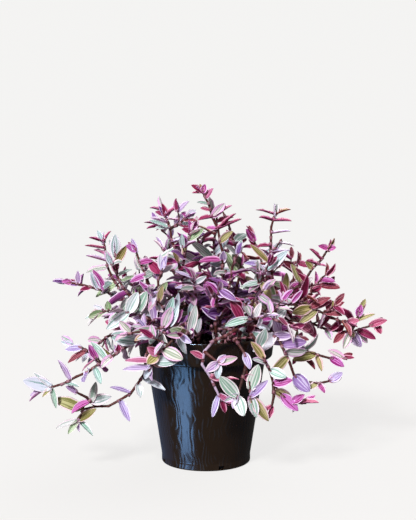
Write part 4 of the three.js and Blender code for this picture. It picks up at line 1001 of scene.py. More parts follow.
class SolidLeaves:
    """Tells in which turn each leaf of a solid grew, by where the solid's corners are."""

    FULL_MARK = (0.3, 0.44)
    SLIGHT_MARK = (0.42, 0.5)
    KEEL = 0.4
    NEAR = 0.08
    ENOUGH = 2

    def __init__(self, solid: Object) -> None:
        """Sorts the solid's corners by place.

        Args:
            solid: The solid of a leafy stem.
        """
        self.tree = KDTree(len(solid.data.vertices))
        for k, vertex in enumerate(solid.data.vertices):
            self.tree.insert(vertex.co / MM, k)
        self.tree.balance()

    def _marks(self, pose: Pose) -> list[Vector]:
        """The solid leaf's tip, and its edges where its first section is.

        Args:
            pose: How the leaf stands.

        Returns:
            The three points.
        """
        place, half = self.SLIGHT_MARK if pose.slight else self.FULL_MARK
        reach = half * pose.width
        middle = pose.rib(place) + pose.face * self.KEEL * reach
        return [pose.rib(1), middle + pose.across * reach, middle - pose.across * reach]

    def found(self, pose: Pose) -> Pose | None:
        """The pose in the turn that the solid's leaf has.

        Args:
            pose: The leaf before it was turned.

        Returns:
            The turned pose, or None where the solid has no such leaf.
        """
        for turn in TURNS:
            turned = pose.turned(turn)
            hits = [self.tree.find(mark)[2] < self.NEAR for mark in self._marks(turned)]
            if sum(hits) >= self.ENOUGH:
                return turned
        return None


# Meshes


def added(name: str, data: ID) -> Object:
    """Adds an object to the scene.

    Args:
        name: Its name.
        data: Its mesh, lamp or camera.

    Returns:
        The object.
    """
    body = bpy.data.objects.new(name, data)
    bpy.context.scene.collection.objects.link(body)
    return body


def flat_faces(faces: Iterable[Sequence[int]]) -> tuple[np.ndarray, np.ndarray]:
    """Faces as one row of corners and the number of corners of each face."""
    listed = list(faces)
    return np.concatenate([np.array(face) for face in listed]), np.array([len(face) for face in listed])


@dataclass(frozen=True)
class Side:
    """Faces that lie together, such as one side of a leaf.

    Corners counts within the points that the side is added with, places says where each corner lies on the
    side, from 0 to 1 each way, paints has a row for each face, and extent is the side's size laid flat.
    """

    corners: np.ndarray
    counts: np.ndarray
    places: np.ndarray
    paints: np.ndarray
    extent: Pair

    @classmethod
    def of(cls, faces: Faces, places: Sequence[Pair], paints: Sequence[np.ndarray], extent: Pair) -> Side:
        """A side from lists of its faces, of its corners' places and of its faces' paints."""
        return cls(*flat_faces(faces), np.array(places), np.array(paints), extent)


@dataclass
class PieceMesh:
    """The points and sides of one piece, gathered and then made into an object."""

    GAP, SPARE = 0.7, 1.04

    points: list[np.ndarray] = field(default_factory=list)
    sides: list[Side] = field(default_factory=list)
    firsts: list[int] = field(default_factory=list)
    materials: list[int] = field(default_factory=list)
    count: int = 0

    def add(self, points: np.ndarray, sides: Iterable[Side], material: int) -> None:
        """Adds points and the sides that lie on them.

        Args:
            points: The points, one a row.
            sides: The sides.
            material: Which of the piece's materials they have.
        """
        for side in sides:
            self.sides.append(side)
            self.firsts.append(self.count)
            self.materials.append(material)
        self.points.append(points)
        self.count += len(points)

    def _laid_out(self) -> np.ndarray:
        """Lays the sides next to each other in rows on one square.

        Returns:
            Where each corner lies, from 0 to 1 each way.
        """
        sizes = [(side.extent[0] + self.GAP, side.extent[1] + self.GAP) for side in self.sides]
        area = sum(width * height for width, height in sizes)
        across = max(math.sqrt(area) * self.SPARE, max(sizes)[0])
        corners = [np.zeros(2)] * len(sizes)
        x = y = row = 0.0
        for k in sorted(range(len(sizes)), key=lambda k: -sizes[k][1]):
            width, height = sizes[k]
            if x + width > across:
                x, y, row = 0.0, y + row, 0.0
            corners[k] = np.array([x, y]) + self.GAP / 2
            x, row = x + width, max(row, height)
        whole = max(across, y + row)
        laid = [low + side.places * side.extent for low, side in zip(corners, self.sides)]
        return np.concatenate(laid) / whole

    def _joined(self, field_name: str) -> np.ndarray:
        """One of the fields of all the sides, joined."""
        return np.concatenate([getattr(side, field_name) for side in self.sides])

    def build(self, name: str, materials: Sequence[Material]) -> Object:
        """Makes the object.

        Args:
            name: Its name.
            materials: Its materials.

        Returns:
            The object, in the scene.
        """
        corners = np.concatenate([side.corners + first for side, first in zip(self.sides, self.firsts)])
        counts, paints = self._joined("counts"), self._joined("paints").astype(np.float32)
        mesh = bpy.data.meshes.new(name)
        mesh.vertices.add(self.count)
        mesh.loops.add(len(corners))
        mesh.polygons.add(len(counts))
        mesh.vertices.foreach_set("co", (np.concatenate(self.points) * MM).astype(np.float32).ravel())
        mesh.loops.foreach_set("vertex_index", corners.astype(np.int32))
        slots = np.repeat(self.materials, [len(side.counts) for side in self.sides])
        numbers = {"loop_start": np.cumsum(counts) - counts, "loop_total": counts, "material_index": slots}
        for title, values in numbers.items():
            mesh.polygons.foreach_set(title, values.astype(np.int32))
        mesh.polygons.foreach_set("use_smooth", np.ones(len(counts), bool))
        for title, values in (("leaf_map", self._joined("places")), ("OFBake", self._laid_out())):
            layer = mesh.uv_layers.new(name=title, do_init=False)
            layer.uv.foreach_set("vector", values.astype(np.float32).ravel())
        for k, title in enumerate(PAINT_LAYERS):
            layer = mesh.attributes.new(title, "FLOAT_COLOR", "FACE")
            layer.data.foreach_set("color", paints[:, 4 * k : 4 * k + 4].ravel())
        mesh.update(calc_edges=True)
        for material in materials:
            mesh.materials.append(material)
        return added(name, mesh)


@dataclass(frozen=True)
class Bend:
    """How a leaf departs from its plain form: its fold, its twist, its waved edges and its hooked tip.

    The fold is the lift of its edges as a share of its half width, and the twist is in degrees.
    """

    FOLDS, YOUNG_FOLDS = (0.08, 0.5), (0.35, 0.7)
    TWISTS, WAVES, PHASES, HOOKS = (-18, 18), (0.1, 0.5), (0, 6.3), (-0.08, 0.36)

    fold: float
    twist: float
    wave: float
    phase: float
    hook: float

    @classmethod
    def drawn(cls, draw: Draw, young: bool) -> Bend:
        """Draws a bend.

        Args:
            draw: The numbers to draw from.
            young: Whether the leaf is young, and more folded.

        Returns:
            The bend.
        """
        folds = cls.YOUNG_FOLDS if young else cls.FOLDS
        spans = (folds, cls.TWISTS, cls.WAVES, cls.PHASES, cls.HOOKS)
        return cls(*(draw.between(*span) for span in spans))


class LeafForm:
    """The fine form of a leaf: a closed blade, folded along its rib, that clasps the stem at its root."""

    COLUMNS = np.array([-1, -0.93, -0.68, -0.36, 0, 0.36, 0.68, 0.93, 1])
    ROWS = np.array([0, 0.05, 0.11, 0.19, 0.28, 0.38, 0.48, 0.58, 0.68, 0.77, 0.85, 0.92, 0.965])
    COARSE_ROWS = (3, 5, 8, 10)
    COARSE_COLUMNS = (0, 4, 8)

    START, RISE, FALL = 0.02, 0.6, 0.74
    OUTLINE_STEPS = 101
    FOLD_POWER = 1.5
    BREADTH = 1.08
    CLASP, CLASP_REACH = 1.5, 0.2
    GROOVE, GROOVE_WIDTH = 0.28, 0.14
    DRAWN_IN = 0.35
    THICKNESS, EDGE_THINNING, TIP_THINNING, THICK_FROM = 0.75, 2.5, 0.45, 9
    WAVES, WAVE_POWER, WAVY_FROM = 2.3, 3, 4
    HOOK_START = 0.55

    def __init__(self) -> None:
        """Works out the faces that all the leaves share."""
        rows, columns = len(self.ROWS), len(self.COLUMNS)
        upper = np.arange(rows * columns).reshape(rows, columns)
        under = upper.copy()
        inner = columns - 2
        under[:, 1:-1] = rows * columns + np.arange(rows * inner).reshape(rows, inner)
        self.tip = rows * columns + rows * inner
        cells = [(r, c) for r in range(rows - 1) for c in range(columns - 1)]
        last = range(columns - 1)
        top = [(upper[r, c], upper[r + 1, c], upper[r + 1, c + 1], upper[r, c + 1]) for r, c in cells]
        top += [(upper[-1, c], self.tip, upper[-1, c + 1]) for c in last]
        bottom = [(under[r, c], under[r, c + 1], under[r + 1, c + 1], under[r + 1, c]) for r, c in cells]
        bottom += [(under[-1, c], under[-1, c + 1], self.tip) for c in last]
        for c in last:
            face = (upper[0, c], upper[0, c + 1], under[0, c + 1], under[0, c])
            bottom.append(tuple(dict.fromkeys(face)))
        self.top, self.top_counts = flat_faces(top)
        self.bottom, self.bottom_counts = flat_faces(bottom)
        across, along = np.meshgrid((self.COLUMNS + 1) / 2, self.ROWS)
        grid = np.stack([across, along], 2)
        self.places = np.concatenate([grid.reshape(-1, 2), grid[:, 1:-1].reshape(-1, 2), [[0.5, 1]]])
        self.coarse_cells = self._coarse_faces()
        outline = self._outline(self.ROWS)
        self.outline = outline / self._outline(np.linspace(0, 1, self.OUTLINE_STEPS)).max()

    def _outline(self, along: np.ndarray) -> np.ndarray:
        """Half widths along the leaf, up to a factor."""
        return (along + self.START) ** self.RISE * (1 - along) ** self.FALL

    def _coarse_faces(self) -> Faces:
        """The coarse form, whose last point is the tip.

        Returns:
            Its triangles.
        """
        rows, columns = len(self.COARSE_ROWS), len(self.COARSE_COLUMNS)
        faces: Faces = []
        for r in range(rows - 1):
            for c in range(columns - 1):
                a = r * columns + c
                faces += [(a, a + 1, a + columns), (a + 1, a + columns + 1, a + columns)]
        tip = rows * columns
        faces += [(tip - columns + c, tip - columns + c + 1, tip) for c in range(columns - 1)]
        return faces

    def points(self, pose: Pose, bend: Bend) -> np.ndarray:
        """The points of a leaf.

        Args:
            pose: How it stands.
            bend: How it departs from its plain form.

        Returns:
            The upper points, then the inner points of the underside, then the tip.
        """
        across, along = np.meshgrid(self.COLUMNS, self.ROWS)
        reach = self.outline[:, None] * pose.width * self.BREADTH / 2
        aside = across * reach
        fold = bend.fold * reach * np.abs(across) ** self.FOLD_POWER
        near = np.clip(1 - along / self.CLASP_REACH, 0, 1)
        clasp = self.CLASP * near**2 * reach * across**2
        groove = -self.GROOVE * np.exp(-((across / self.GROOVE_WIDTH) ** 2)) * (1 - along)
        swing = 2 * math.pi * self.WAVES * along + bend.phase + np.sign(across)
        waved = np.abs(across) ** self.WAVE_POWER * np.minimum(reach / self.WAVY_FROM, 1)
        wave = bend.wave * waved * np.sin(swing)
        lift = fold + clasp + groove + wave
        # The fold draws the edges in, so that the blade keeps its breadth.
        aside = aside * (1 - self.DRAWN_IN * bend.fold * np.abs(across))
        turn = np.radians(bend.twist) * along
        turned_aside = aside * np.cos(turn) - lift * np.sin(turn)
        lift = aside * np.sin(turn) + lift * np.cos(turn)
        hooked = np.clip(along - self.HOOK_START, 0, 1) ** 2 * bend.hook * pose.length
        sunk = pose.droop * pose.length * along**2 + hooked
        frame = [np.array(way) for way in (pose.across, pose.along, pose.face)]
        middle = np.array(pose.root) + frame[1] * (pose.length * along)[..., None]
        middle = middle + frame[0] * turned_aside[..., None] + frame[2] * (lift - sunk)[..., None]
        half = self.THICKNESS / 2 * np.sqrt(1 - np.abs(across) ** self.EDGE_THINNING)
        half *= (1 - self.TIP_THINNING * along) * min(pose.width / self.THICK_FROM, 1)
        upper = middle + frame[2] * half[..., None]
        under = middle - frame[2] * half[..., None]
        end = np.array(pose.rib(1)) - frame[2] * bend.hook * pose.length * (1 - self.HOOK_START) ** 2
        return np.concatenate([upper.reshape(-1, 3), under[:, 1:-1].reshape(-1, 3), [end]])

    def coarse(self, points: np.ndarray) -> np.ndarray:
        """A few of a leaf's points, for finding what crosses it.

        Args:
            points: All the leaf's points.

        Returns:
            The points of its coarse form.
        """
        rows, columns = len(self.ROWS), len(self.COLUMNS)
        grid = points[: rows * columns].reshape(rows, columns, 3)
        picked = grid[np.ix_(self.COARSE_ROWS, self.COARSE_COLUMNS)].reshape(-1, 3)
        return np.concatenate([picked, points[-1:]])

    def sides(self, pose: Pose, paint: LeafPaint, seed: float, light: float) -> list[Side]:
        """The painted faces of a leaf.

        Args:
            pose: How it stands.
            paint: Its colours.
            seed: Sets its streaks apart from the next leaf's.
            light: How light it is painted, with painted shade for leaves in the plant's heart.

        Returns:
            Its upper side and its underside.
        """
        extent = (pose.width, pose.length)
        upper, under = (face.numbers(seed, light, pose.width) for face in (paint.upper, paint.under))
        upper = np.tile(upper, (len(self.top_counts), 1))
        under = np.tile(under, (len(self.bottom_counts), 1))
        return [
            Side(self.top, self.top_counts, self.places[self.top], upper, extent),
            Side(self.bottom, self.bottom_counts, self.places[self.bottom], under, extent),
        ]


def blended(first: Paint, second: Paint, part: float, seed: float) -> np.ndarray:
    """The numbers of a paint between two others, from 0 for the first to 1 for the second."""
    return first.numbers(seed) * (1 - part) + second.numbers(seed) * part


@dataclass(frozen=True)
class Ring:
    """A round section: its middle, the direction that it stands across, its radius and its paint."""

    middle: Vector
    direction: Vector
    radius: float
    paint: np.ndarray


class TubeForm:
    """Closed round tubes through rings, for stems and for the sheaths round them."""

    def __init__(self, sides: int, stretch: int) -> None:
        """Sets how many corners a ring has, and how many rings one side of the layout runs along."""
        self.sides, self.stretch = sides, stretch
        self.circle = np.array([(math.cos(turn), math.sin(turn)) for turn in turns_round(sides)])

    def _corners(self, ring: Ring) -> np.ndarray:
        """The points of a ring, from the side that the light turns to it.

        Args:
            ring: The ring.

        Returns:
            The points, one a row.
        """
        light = LIGHT.at(ring.middle)
        face = (light - ring.direction * light.dot(ring.direction)).normalized()
        frame = np.array([face.cross(ring.direction), face])
        return np.array(ring.middle) + self.circle @ frame * ring.radius

    def add(self, mesh: PieceMesh, rings: Sequence[Ring], material: int) -> None:
        """Adds a tube to a piece.

        Args:
            mesh: The piece's mesh.
            rings: The rings, from one end to the other.
            material: Which of the piece's materials the tube has.
        """
        points = [self._corners(ring) for ring in rings]
        ends = [[tuple(ring.middle)] for ring in (rings[0], rings[-1])]
        last, count = len(rings) - 1, len(rings) * self.sides
        firsts = range(0, last, self.stretch)
        sides = [self._stretch(rings, first, min(first + self.stretch, last)) for first in firsts]
        sides.append(self._end(rings[0], count, 0, -1))
        sides.append(self._end(rings[-1], count + 1, count - self.sides, 1))
        mesh.add(np.concatenate([*points, *ends]), sides, material)

    def _stretch(self, rings: Sequence[Ring], first: int, last: int) -> Side:
        """The faces between two rings and the ones in between.

        Args:
            rings: All the rings.
            first: The number of the first ring.
            last: The number of the last ring.

        Returns:
            The faces.
        """
        faces, places, paints = [], [], []
        for k in range(first, last):
            low, high = ((row - first) / (last - first) for row in (k, k + 1))
            for i in range(self.sides):
                left, right = i / self.sides, (i + 1) / self.sides
                base, above, j = k * self.sides, (k + 1) * self.sides, (i + 1) % self.sides
                faces.append((base + i, base + j, above + j, above + i))
                places += [(left, low), (right, low), (right, high), (left, high)]
                paints.append(rings[k].paint)
        height = sum((rings[k + 1].middle - rings[k].middle).length for k in range(first, last))
        return Side.of(faces, places, paints, (math.tau * rings[first].radius, height))

    def _end(self, ring: Ring, centre: int, first: int, way: int) -> Side:
        """The fan that closes a tube.

        Args:
            ring: The tube's last ring.
            centre: The number of the point in its middle.
            first: The number of the ring's first point.
            way: 1 at the tube's upper end and -1 at its lower one.

        Returns:
            The faces.
        """
        faces, places = [], []
        for i in range(self.sides):
            pair = (i, (i + 1) % self.sides)[::way]
            faces.append((centre, first + pair[0], first + pair[1]))
            places += [(0.5, 0.5), *(tuple(self.circle[k] / 2 + 0.5) for k in pair)]
        return Side.of(faces, places, [ring.paint] * len(faces), (2 * ring.radius, 2 * ring.radius))


LEAF_FORM = LeafForm()
STEM_TUBE = TubeForm(10, 12)
SHEATH_TUBE = TubeForm(9, 4)


# The plant


class Room:
    """The space round the plant, with what takes up some of it already."""

    NOBODY = -1

    def __init__(self, low: np.ndarray, high: np.ndarray) -> None:
        """Starts with empty space.

        Args:
            low: The lowest corner that anything may reach.
            high: The highest corner.
        """
        self.low, self.high = low, high
        self.trees: list[BVHTree] = []
        self.owners: list[int] = []
        self.middles = np.zeros((0, 3))
        self.radii = np.zeros(0)

    def add(self, points: np.ndarray, faces: Faces, owner: int = NOBODY) -> None:
        """Takes up room.

        Args:
            points: The corners of what takes it up.
            faces: Its faces.
            owner: The stem whose own leaves it doesn't hinder.
        """
        middle, radius = self._ball(points)
        self.trees.append(BVHTree.FromPolygons(points.tolist(), faces))
        self.owners.append(owner)
        self.middles = np.vstack([self.middles, middle])
        self.radii = np.append(self.radii, radius)

    def free(self, points: np.ndarray, faces: Faces, owner: int) -> bool:
        """Tells whether there is room.

        Args:
            points: The corners of what would grow there.
            faces: Its faces.
            owner: The stem that it grows on.

        Returns:
            True where it crosses nothing and stays in bounds.
        """
        if (points < self.low).any() or (points > self.high).any():
            return False
        middle, radius = self._ball(points)
        distances = np.linalg.norm(self.middles - middle, axis=1)
        tree = BVHTree.FromPolygons(points.tolist(), faces)
        for k in np.nonzero(distances < self.radii + radius)[0]:
            if self.owners[k] != owner and tree.overlap(self.trees[k]):
                return False
        return True

    def add_leaf(self, points: np.ndarray) -> None:
        """Takes up the room of a leaf."""
        self.add(LEAF_FORM.coarse(points), LEAF_FORM.coarse_cells)

    def fits_leaf(self, points: np.ndarray, owner: int) -> bool:
        """Tells whether there is room for a leaf."""
        return self.free(LEAF_FORM.coarse(points), LEAF_FORM.coarse_cells, owner)

    @staticmethod
    def _ball(points: np.ndarray) -> tuple[np.ndarray, float]:
        """The middle and the radius of a ball round some points."""
        middle = (points.min(0) + points.max(0)) / 2
        return middle, float(np.linalg.norm(points - middle, axis=1).max())


@dataclass(frozen=True)
class MoreGrowth:
    """The rule for the leaves and twigs that grow besides those of the solids.

    Pairs are the least and the most drawn, but twig_radii are those of a twig's root and tip. Turns are in
    degrees.
    """

    lowest: float = 4
    tries: int = 5
    heart: Triple = (0, -10, 175)
    heart_reach: Triple = (85, 80, 62)
    inner_share: float = 0.9
    outer_share: float = 0.12
    size: Pair = (0.72, 1.02)
    rank: Pair = (40, 140)
    twig_share: float = 0.5
    twig_length: Pair = (15, 27)
    twig_spread: Pair = (36, 62)
    twig_lift: Pair = (0, 0.4)
    twig_towards_light: float = 0.35
    twig_spacing: float = 8.5
    twig_radii: Pair = (0.9, 0.6)
    twig_leaf: float = 0.78
    light: Pair = (0.86, 1.06)
    # Painted shade: how much darker the leaves deep in the heart are painted, and how far that painted shade
    # reaches.
    heart_painted_shade: float = 0.45
    wide_reach: float = 1.6
    painted_shade_reach: float = 1.1

    def depth(self, point: Vector, reach: float) -> float:
        """How deep in the plant's heart a place is, up to 1, where the heart ends at a reach."""
        return min(max(reach - apart(point, self.heart, self.heart_reach), 0), 1)

    def share_at(self, point: Vector) -> float:
        """How many of the knees at a place bear more leaves: most in the heart of the plant, few far out."""
        return self.outer_share + (self.inner_share - self.outer_share) * self.depth(point, self.wide_reach)

    def painted_shade_at(self, point: Vector) -> float:
        """How light the leaves are painted at a place: those in the heart get painted shade, darker paint for
        the shade that falls there.
        """
        return 1 - self.heart_painted_shade * self.depth(point, self.painted_shade_reach)


MORE = MoreGrowth()


class LeafyStem:
    """One leafy stem: the routes that its solid has, its leaves, and the twigs that it grows besides."""

    LEAF_SKIN, STEM_SKIN = 0, 1
    SPAN_PARTS = (0, 0.22, 0.42, 0.5, 0.58, 0.78)
    SWOLLEN_PARTS = (0, 0.5)
    SWELLING = 1.16
    SHEATH_LENGTH = (3.2, 4.6)
    TAPER = 0.8
    SEEDS = 60
    SHEATH_FLARE = (0.1, 0.3, 0.42, 0.62)
    SHEATH_SUNK = 0.12
    SHEATH_GREEN = 0.35
    LILAC_FROM, LILAC_FADE, OLD_BARK = 66, 14, 110
    GUARD = ((-1, -1), (1, -1), (0, 1))
    GUARD_FACES = [(0, 1, 4, 3), (1, 2, 5, 4), (2, 0, 3, 5)]
    GUARD_ENDS = (0.02, 0.98)
    FOREMOST_TURNS, ADDED_TURNS = TURNS[:7], TURNS[:3]

    def __init__(self, shoot: Shoot, number: int, solid: SolidLeaves, room: Room, front: Room) -> None:
        """Grows the bare stem.

        Args:
            shoot: The stem's route and tint.
            number: Its place among the stems, from 1.
            solid: Finds its solid's leaves.
            room: The space, which all that grows takes up.
            front: The room of the foremost leaves, which stays theirs.
        """
        self.shoot, self.number, self.solid, self.room, self.front = shoot, number, solid, room, front
        self.draw, self.more = Draw(SEED * number), Draw(SEED * number + 1)
        self.leaves: list[tuple[np.ndarray, list[Side]]] = []
        self.clasped: list[Knee] = []
        self.taken: list[Vector] = []
        self.parts = [Axis(shoot.trunk, shoot.bare, True)]
        if shoot.branch:
            start, *rest = shoot.branch
            self.parts.append(Axis([tuple(self.parts[0].nearest(start).point), *rest]))
        for part in self.parts:
            self._take_room(part)

    @property
    def places(self) -> list[Knee]:
        """The knees and joints of all the parts."""
        return [place for part in self.parts for place in (*part.knees, *part.joints)]

    def _take_room(self, part: Axis) -> None:
        """Takes up the room of a part, span by span."""
        for before, knee in part.spans:
            self.room.add(*self._guard(before, knee, knee.radius), self.number)

    def _guard(self, before: Knee, knee: Knee, radius: float) -> tuple[np.ndarray, Faces]:
        """The three-sided form that stands for a span when room is sought.

        Args:
            before: The knee where the span starts.
            knee: The knee where it ends.
            radius: Its radius.

        Returns:
            The corners and the faces.
        """
        way = (knee.point - before.point).normalized()
        across = way.orthogonal()
        up = way.cross(across)
        ends = [before.point.lerp(knee.point, share) for share in self.GUARD_ENDS]
        points = [end + across * a * radius + up * b * radius for end in ends for a, b in self.GUARD]
        return np.array(points), self.GUARD_FACES

    def _place(self, pose: Pose, points: np.ndarray, tone: LeafColour | None = None) -> None:
        """Adds a leaf, which then takes up room.

        Args:
            pose: How it stands.
            points: Its points.
            tone: Its colouring, which is drawn where there is none.
        """
        middle = pose.rib(0.5)
        if not tone and any(apart(middle, *bare) < 1 for bare in BARE_PLACES):
            return
        self.room.add_leaf(points)
        drawn = self.more.pick(shares_for(self.shoot.tint, middle, pose.fresh))
        seed = self.more.between(0, 1)
        # Leaves in the plant's heart, but for the aimed ones, get painted shade: darker and redder paint
        # where shade falls.
        light = self.more.between(*MORE.light) * (1 if tone else MORE.painted_shade_at(middle))
        self.leaves.append((points, LEAF_FORM.sides(pose, (tone or drawn).value, seed, light)))

    def _try(self, pose: Pose, turns: Iterable[Turn] = TURNS, tone: LeafColour | None = None) -> bool:
        """Adds a leaf in the first turn in which there is room for it.

        Args:
            pose: How it would stand unturned.
            turns: The turns.
            tone: Its colouring, which is drawn where there is none.

        Returns:
            True where there was room.
        """
        for turn in turns:
            turned = pose.turned(turn)
            points = LEAF_FORM.points(turned, Bend.drawn(self.more, pose.fresh))
            if self.room.fits_leaf(points, self.number):
                self._place(turned, points, tone)
                return True
        return False

    def _settle(self, pose: Pose) -> bool:
        """Adds a leaf as the solid has it, or else where there is room for it.

        Args:
            pose: How it stands.

        Returns:
            True where there was room.
        """
        found = self.solid.found(pose)
        if found:
            points = LEAF_FORM.points(found, Bend.drawn(self.more, pose.fresh))
            if self.front.fits_leaf(points, self.number):
                self._place(found, points)
                return True
        return self._try(pose)

    def grow_aimed(self) -> None:
        """Grows the aimed leaves."""
        for aimed in self.shoot.aimed:
            place = min(self.places, key=lambda place: aimed.apart(place.point))
            self.taken.append(place.point)
            found = self.solid.found(aimed.pose(place.point))
            if found:
                self._place(found, LEAF_FORM.points(found, Bend.drawn(self.more, found.slight)), aimed.tone)
                self.clasped.append(place)

    def grow_foremost(self, place: Knee, aimed: Aimed) -> bool:
        """Tries to grow a leaf in front of the others.

        Args:
            place: Where on the stem.
            aimed: The leaf.

        Returns:
            True where there is room for it.
        """
        if not self._try(aimed.pose(place.point), self.FOREMOST_TURNS, aimed.tone):
            return False
        self.front.add_leaf(self.leaves[-1][0])
        self.clasped.append(place)
        return True

    def grow_like(self) -> None:
        """Grows the leaves that the solid has, and in their places those for which it had no room."""
        for part in self.parts:
            self._settle(TIP.pose(part.knees[-1], 0, self.draw))
        for k, part in enumerate(self.parts):
            for joint in part.joints:
                pose = LEAF.pose(joint, self.draw)
                taken = any((joint.point - root).length < LEAF.apart for root in self.taken)
                if joint.along >= part.bare and not taken and self._settle(pose):
                    self.clasped.append(joint)
            self._settle(TIP.pose(part.knees[-1], -1 if k % 2 else 1, self.draw))

    def grow_between(self) -> None:
        """Grows leaves at the knees, and where the solid's stem is bare."""
        for part in self.parts:
            for joint in part.joints:
                if MORE.lowest < joint.along < part.bare:
                    self._add_leaf(joint)
            for knee in part.knees[1:-1]:
                if knee.along > MORE.lowest and self.more.between(0, 1) < MORE.share_at(knee.point):
                    self._add_leaf(self._joint_at(knee))

    def _joint_at(self, knee: Knee) -> Joint:
        """A joint at a knee, on another side of the stem than its neighbours.

        Args:
            knee: The knee.

        Returns:
            The joint.
        """
        turn = math.radians(self.more.between(*MORE.rank) * (1 if self.more.between(0, 1) < 0.5 else -1))
        side = knee.tangent.cross(LIGHT.at(knee.point)).normalized()
        return Joint(**vars(knee), side=Quaternion(knee.tangent, turn) @ side)

    def _add_leaf(self, joint: Joint) -> None:
        """Tries to grow a smaller leaf.

        Args:
            joint: Where on the stem.
        """
        for _ in range(MORE.tries):
            pose = LEAF.pose(joint, self.more).scaled(self.more.between(*MORE.size))
            if self._try(pose, self.ADDED_TURNS):
                self.clasped.append(joint)
                return

    def grow_twigs(self) -> None:
        """Grows twigs with a few small leaves from some of the knees."""
        for part in list(self.parts):
            for knee in part.knees[1:-1]:
                if self.more.between(0, 1) < MORE.twig_share * MORE.depth(knee.point, MORE.wide_reach):
                    self._grow_twig(knee)

    def _grow_twig(self, knee: Knee) -> None:
        """Grows a twig if there is room for its stem.

        Args:
            knee: Where on the stem.
        """
        for _ in range(MORE.tries):
            side = self._joint_at(knee).side
            spread = math.radians(self.more.between(*MORE.twig_spread))
            way = knee.tangent * math.cos(spread) + side * math.sin(spread)
            way.z += self.more.between(*MORE.twig_lift)
            way.normalize()
            length = self.more.between(*MORE.twig_length)
            middle = knee.point + way * length / 2
            end = middle + (way + LIGHT.at(middle) * MORE.twig_towards_light).normalized() * length / 2
            route = [tuple(point) for point in (knee.point, middle, end)]
            twig = Axis(route, spacing=MORE.twig_spacing, radii=MORE.twig_radii)
            guards = (self._guard(*span, twig.radii[0]) for span in twig.spans)
            if all(self.room.free(*guard, self.number) for guard in guards):
                self._leaf_twig(twig)
                return

    def _leaf_twig(self, twig: Axis) -> None:
        """Grows a twig's leaves, and keeps the twig if one of them closes its tip.

        Args:
            twig: The twig's bare stem.
        """
        if not self._try(TIP.pose(twig.knees[-1], 0, self.more)):
            return
        self.parts.append(twig)
        self._take_room(twig)
        self._try(TIP.pose(twig.knees[-1], 1, self.more))
        for joint in twig.joints:
            if self._try(LEAF.pose(joint, self.more).scaled(MORE.twig_leaf)):
                self.clasped.append(joint)

    def build(self, materials: Sequence[Material]) -> Object:
        """Builds the stem, its sheaths and its leaves as one piece in place of its solid.

        Args:
            materials: The leaf's material and the stem's.

        Returns:
            The piece.
        """
        mesh = PieceMesh()
        for part in self.parts:
            STEM_TUBE.add(mesh, self._rings(part), self.STEM_SKIN)
        for place in self.clasped:
            SHEATH_TUBE.add(mesh, self._sheath(place), self.STEM_SKIN)
        for points, sides in self.leaves:
            mesh.add(points, sides, self.LEAF_SKIN)
        piece = mesh.build("leafy_stem_" + self.shoot.name, materials)
        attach(piece, BODY)
        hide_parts("stem_" + self.shoot.name)
        return piece

    def _rings(self, part: Axis) -> list[Ring]:
        """The rings of a stem.

        Args:
            part: The part of the stem.

        Returns:
            Its rings, from the root up.
        """
        rings, seed = [], self.number / self.SEEDS
        if part.rooted:
            deep = part.knees[0].point - Vector((0, 0, GROWTH.root_depth))
            rings.append(Ring(deep, Vector((0, 0, 1)), part.radii[0], self._bark(0, seed)))
        for before, knee in part.spans:
            way = (knee.point - before.point).normalized()
            last = rings[-1].direction if rings else way
            for share in self.SPAN_PARTS:
                middle = before.point.lerp(knee.point, share)
                along = before.along + (knee.along - before.along) * share
                radius = part.radius(along) * (self.SWELLING if share in self.SWOLLEN_PARTS else 1)
                direction = (way + last).normalized() if share == 0 else way
                rings.append(Ring(middle, direction, radius, self._bark(along, seed)))
        end = part.knees[-1]
        rings.append(Ring(end.point, way, part.radii[1] * self.TAPER, self._bark(end.along, seed)))
        return rings

    def _bark(self, along: float, seed: float) -> np.ndarray:
        """The stem's paint.

        Args:
            along: The length along the stem.
            seed: Sets the streaks apart.

        Returns:
            The paint's numbers.
        """
        if self.shoot.name in LILAC_STEMS:
            part = (along - self.LILAC_FROM) / self.LILAC_FADE
            return blended(STEM_YOUNG, STEM_LILAC, min(max(part, 0), 1), seed)
        return blended(STEM_OLD, STEM_YOUNG, min(along / self.OLD_BARK, 1), seed)

    def _sheath(self, place: Knee) -> list[Ring]:
        """The rings of the sheath by which a leaf clasps the stem.

        Args:
            place: Where it does.

        Returns:
            The rings.
        """
        length = self.more.between(*self.SHEATH_LENGTH)
        paint = blended(SHEATH, STEM_YOUNG, self.SHEATH_GREEN, self.more.between(0, 1))
        rings, last = [], len(self.SHEATH_FLARE) - 1
        for k, flare in enumerate(self.SHEATH_FLARE):
            middle = place.point + place.tangent * length * (k / last - self.SHEATH_SUNK)
            rings.append(Ring(middle, place.tangent, place.radius + flare, paint))
        return rings


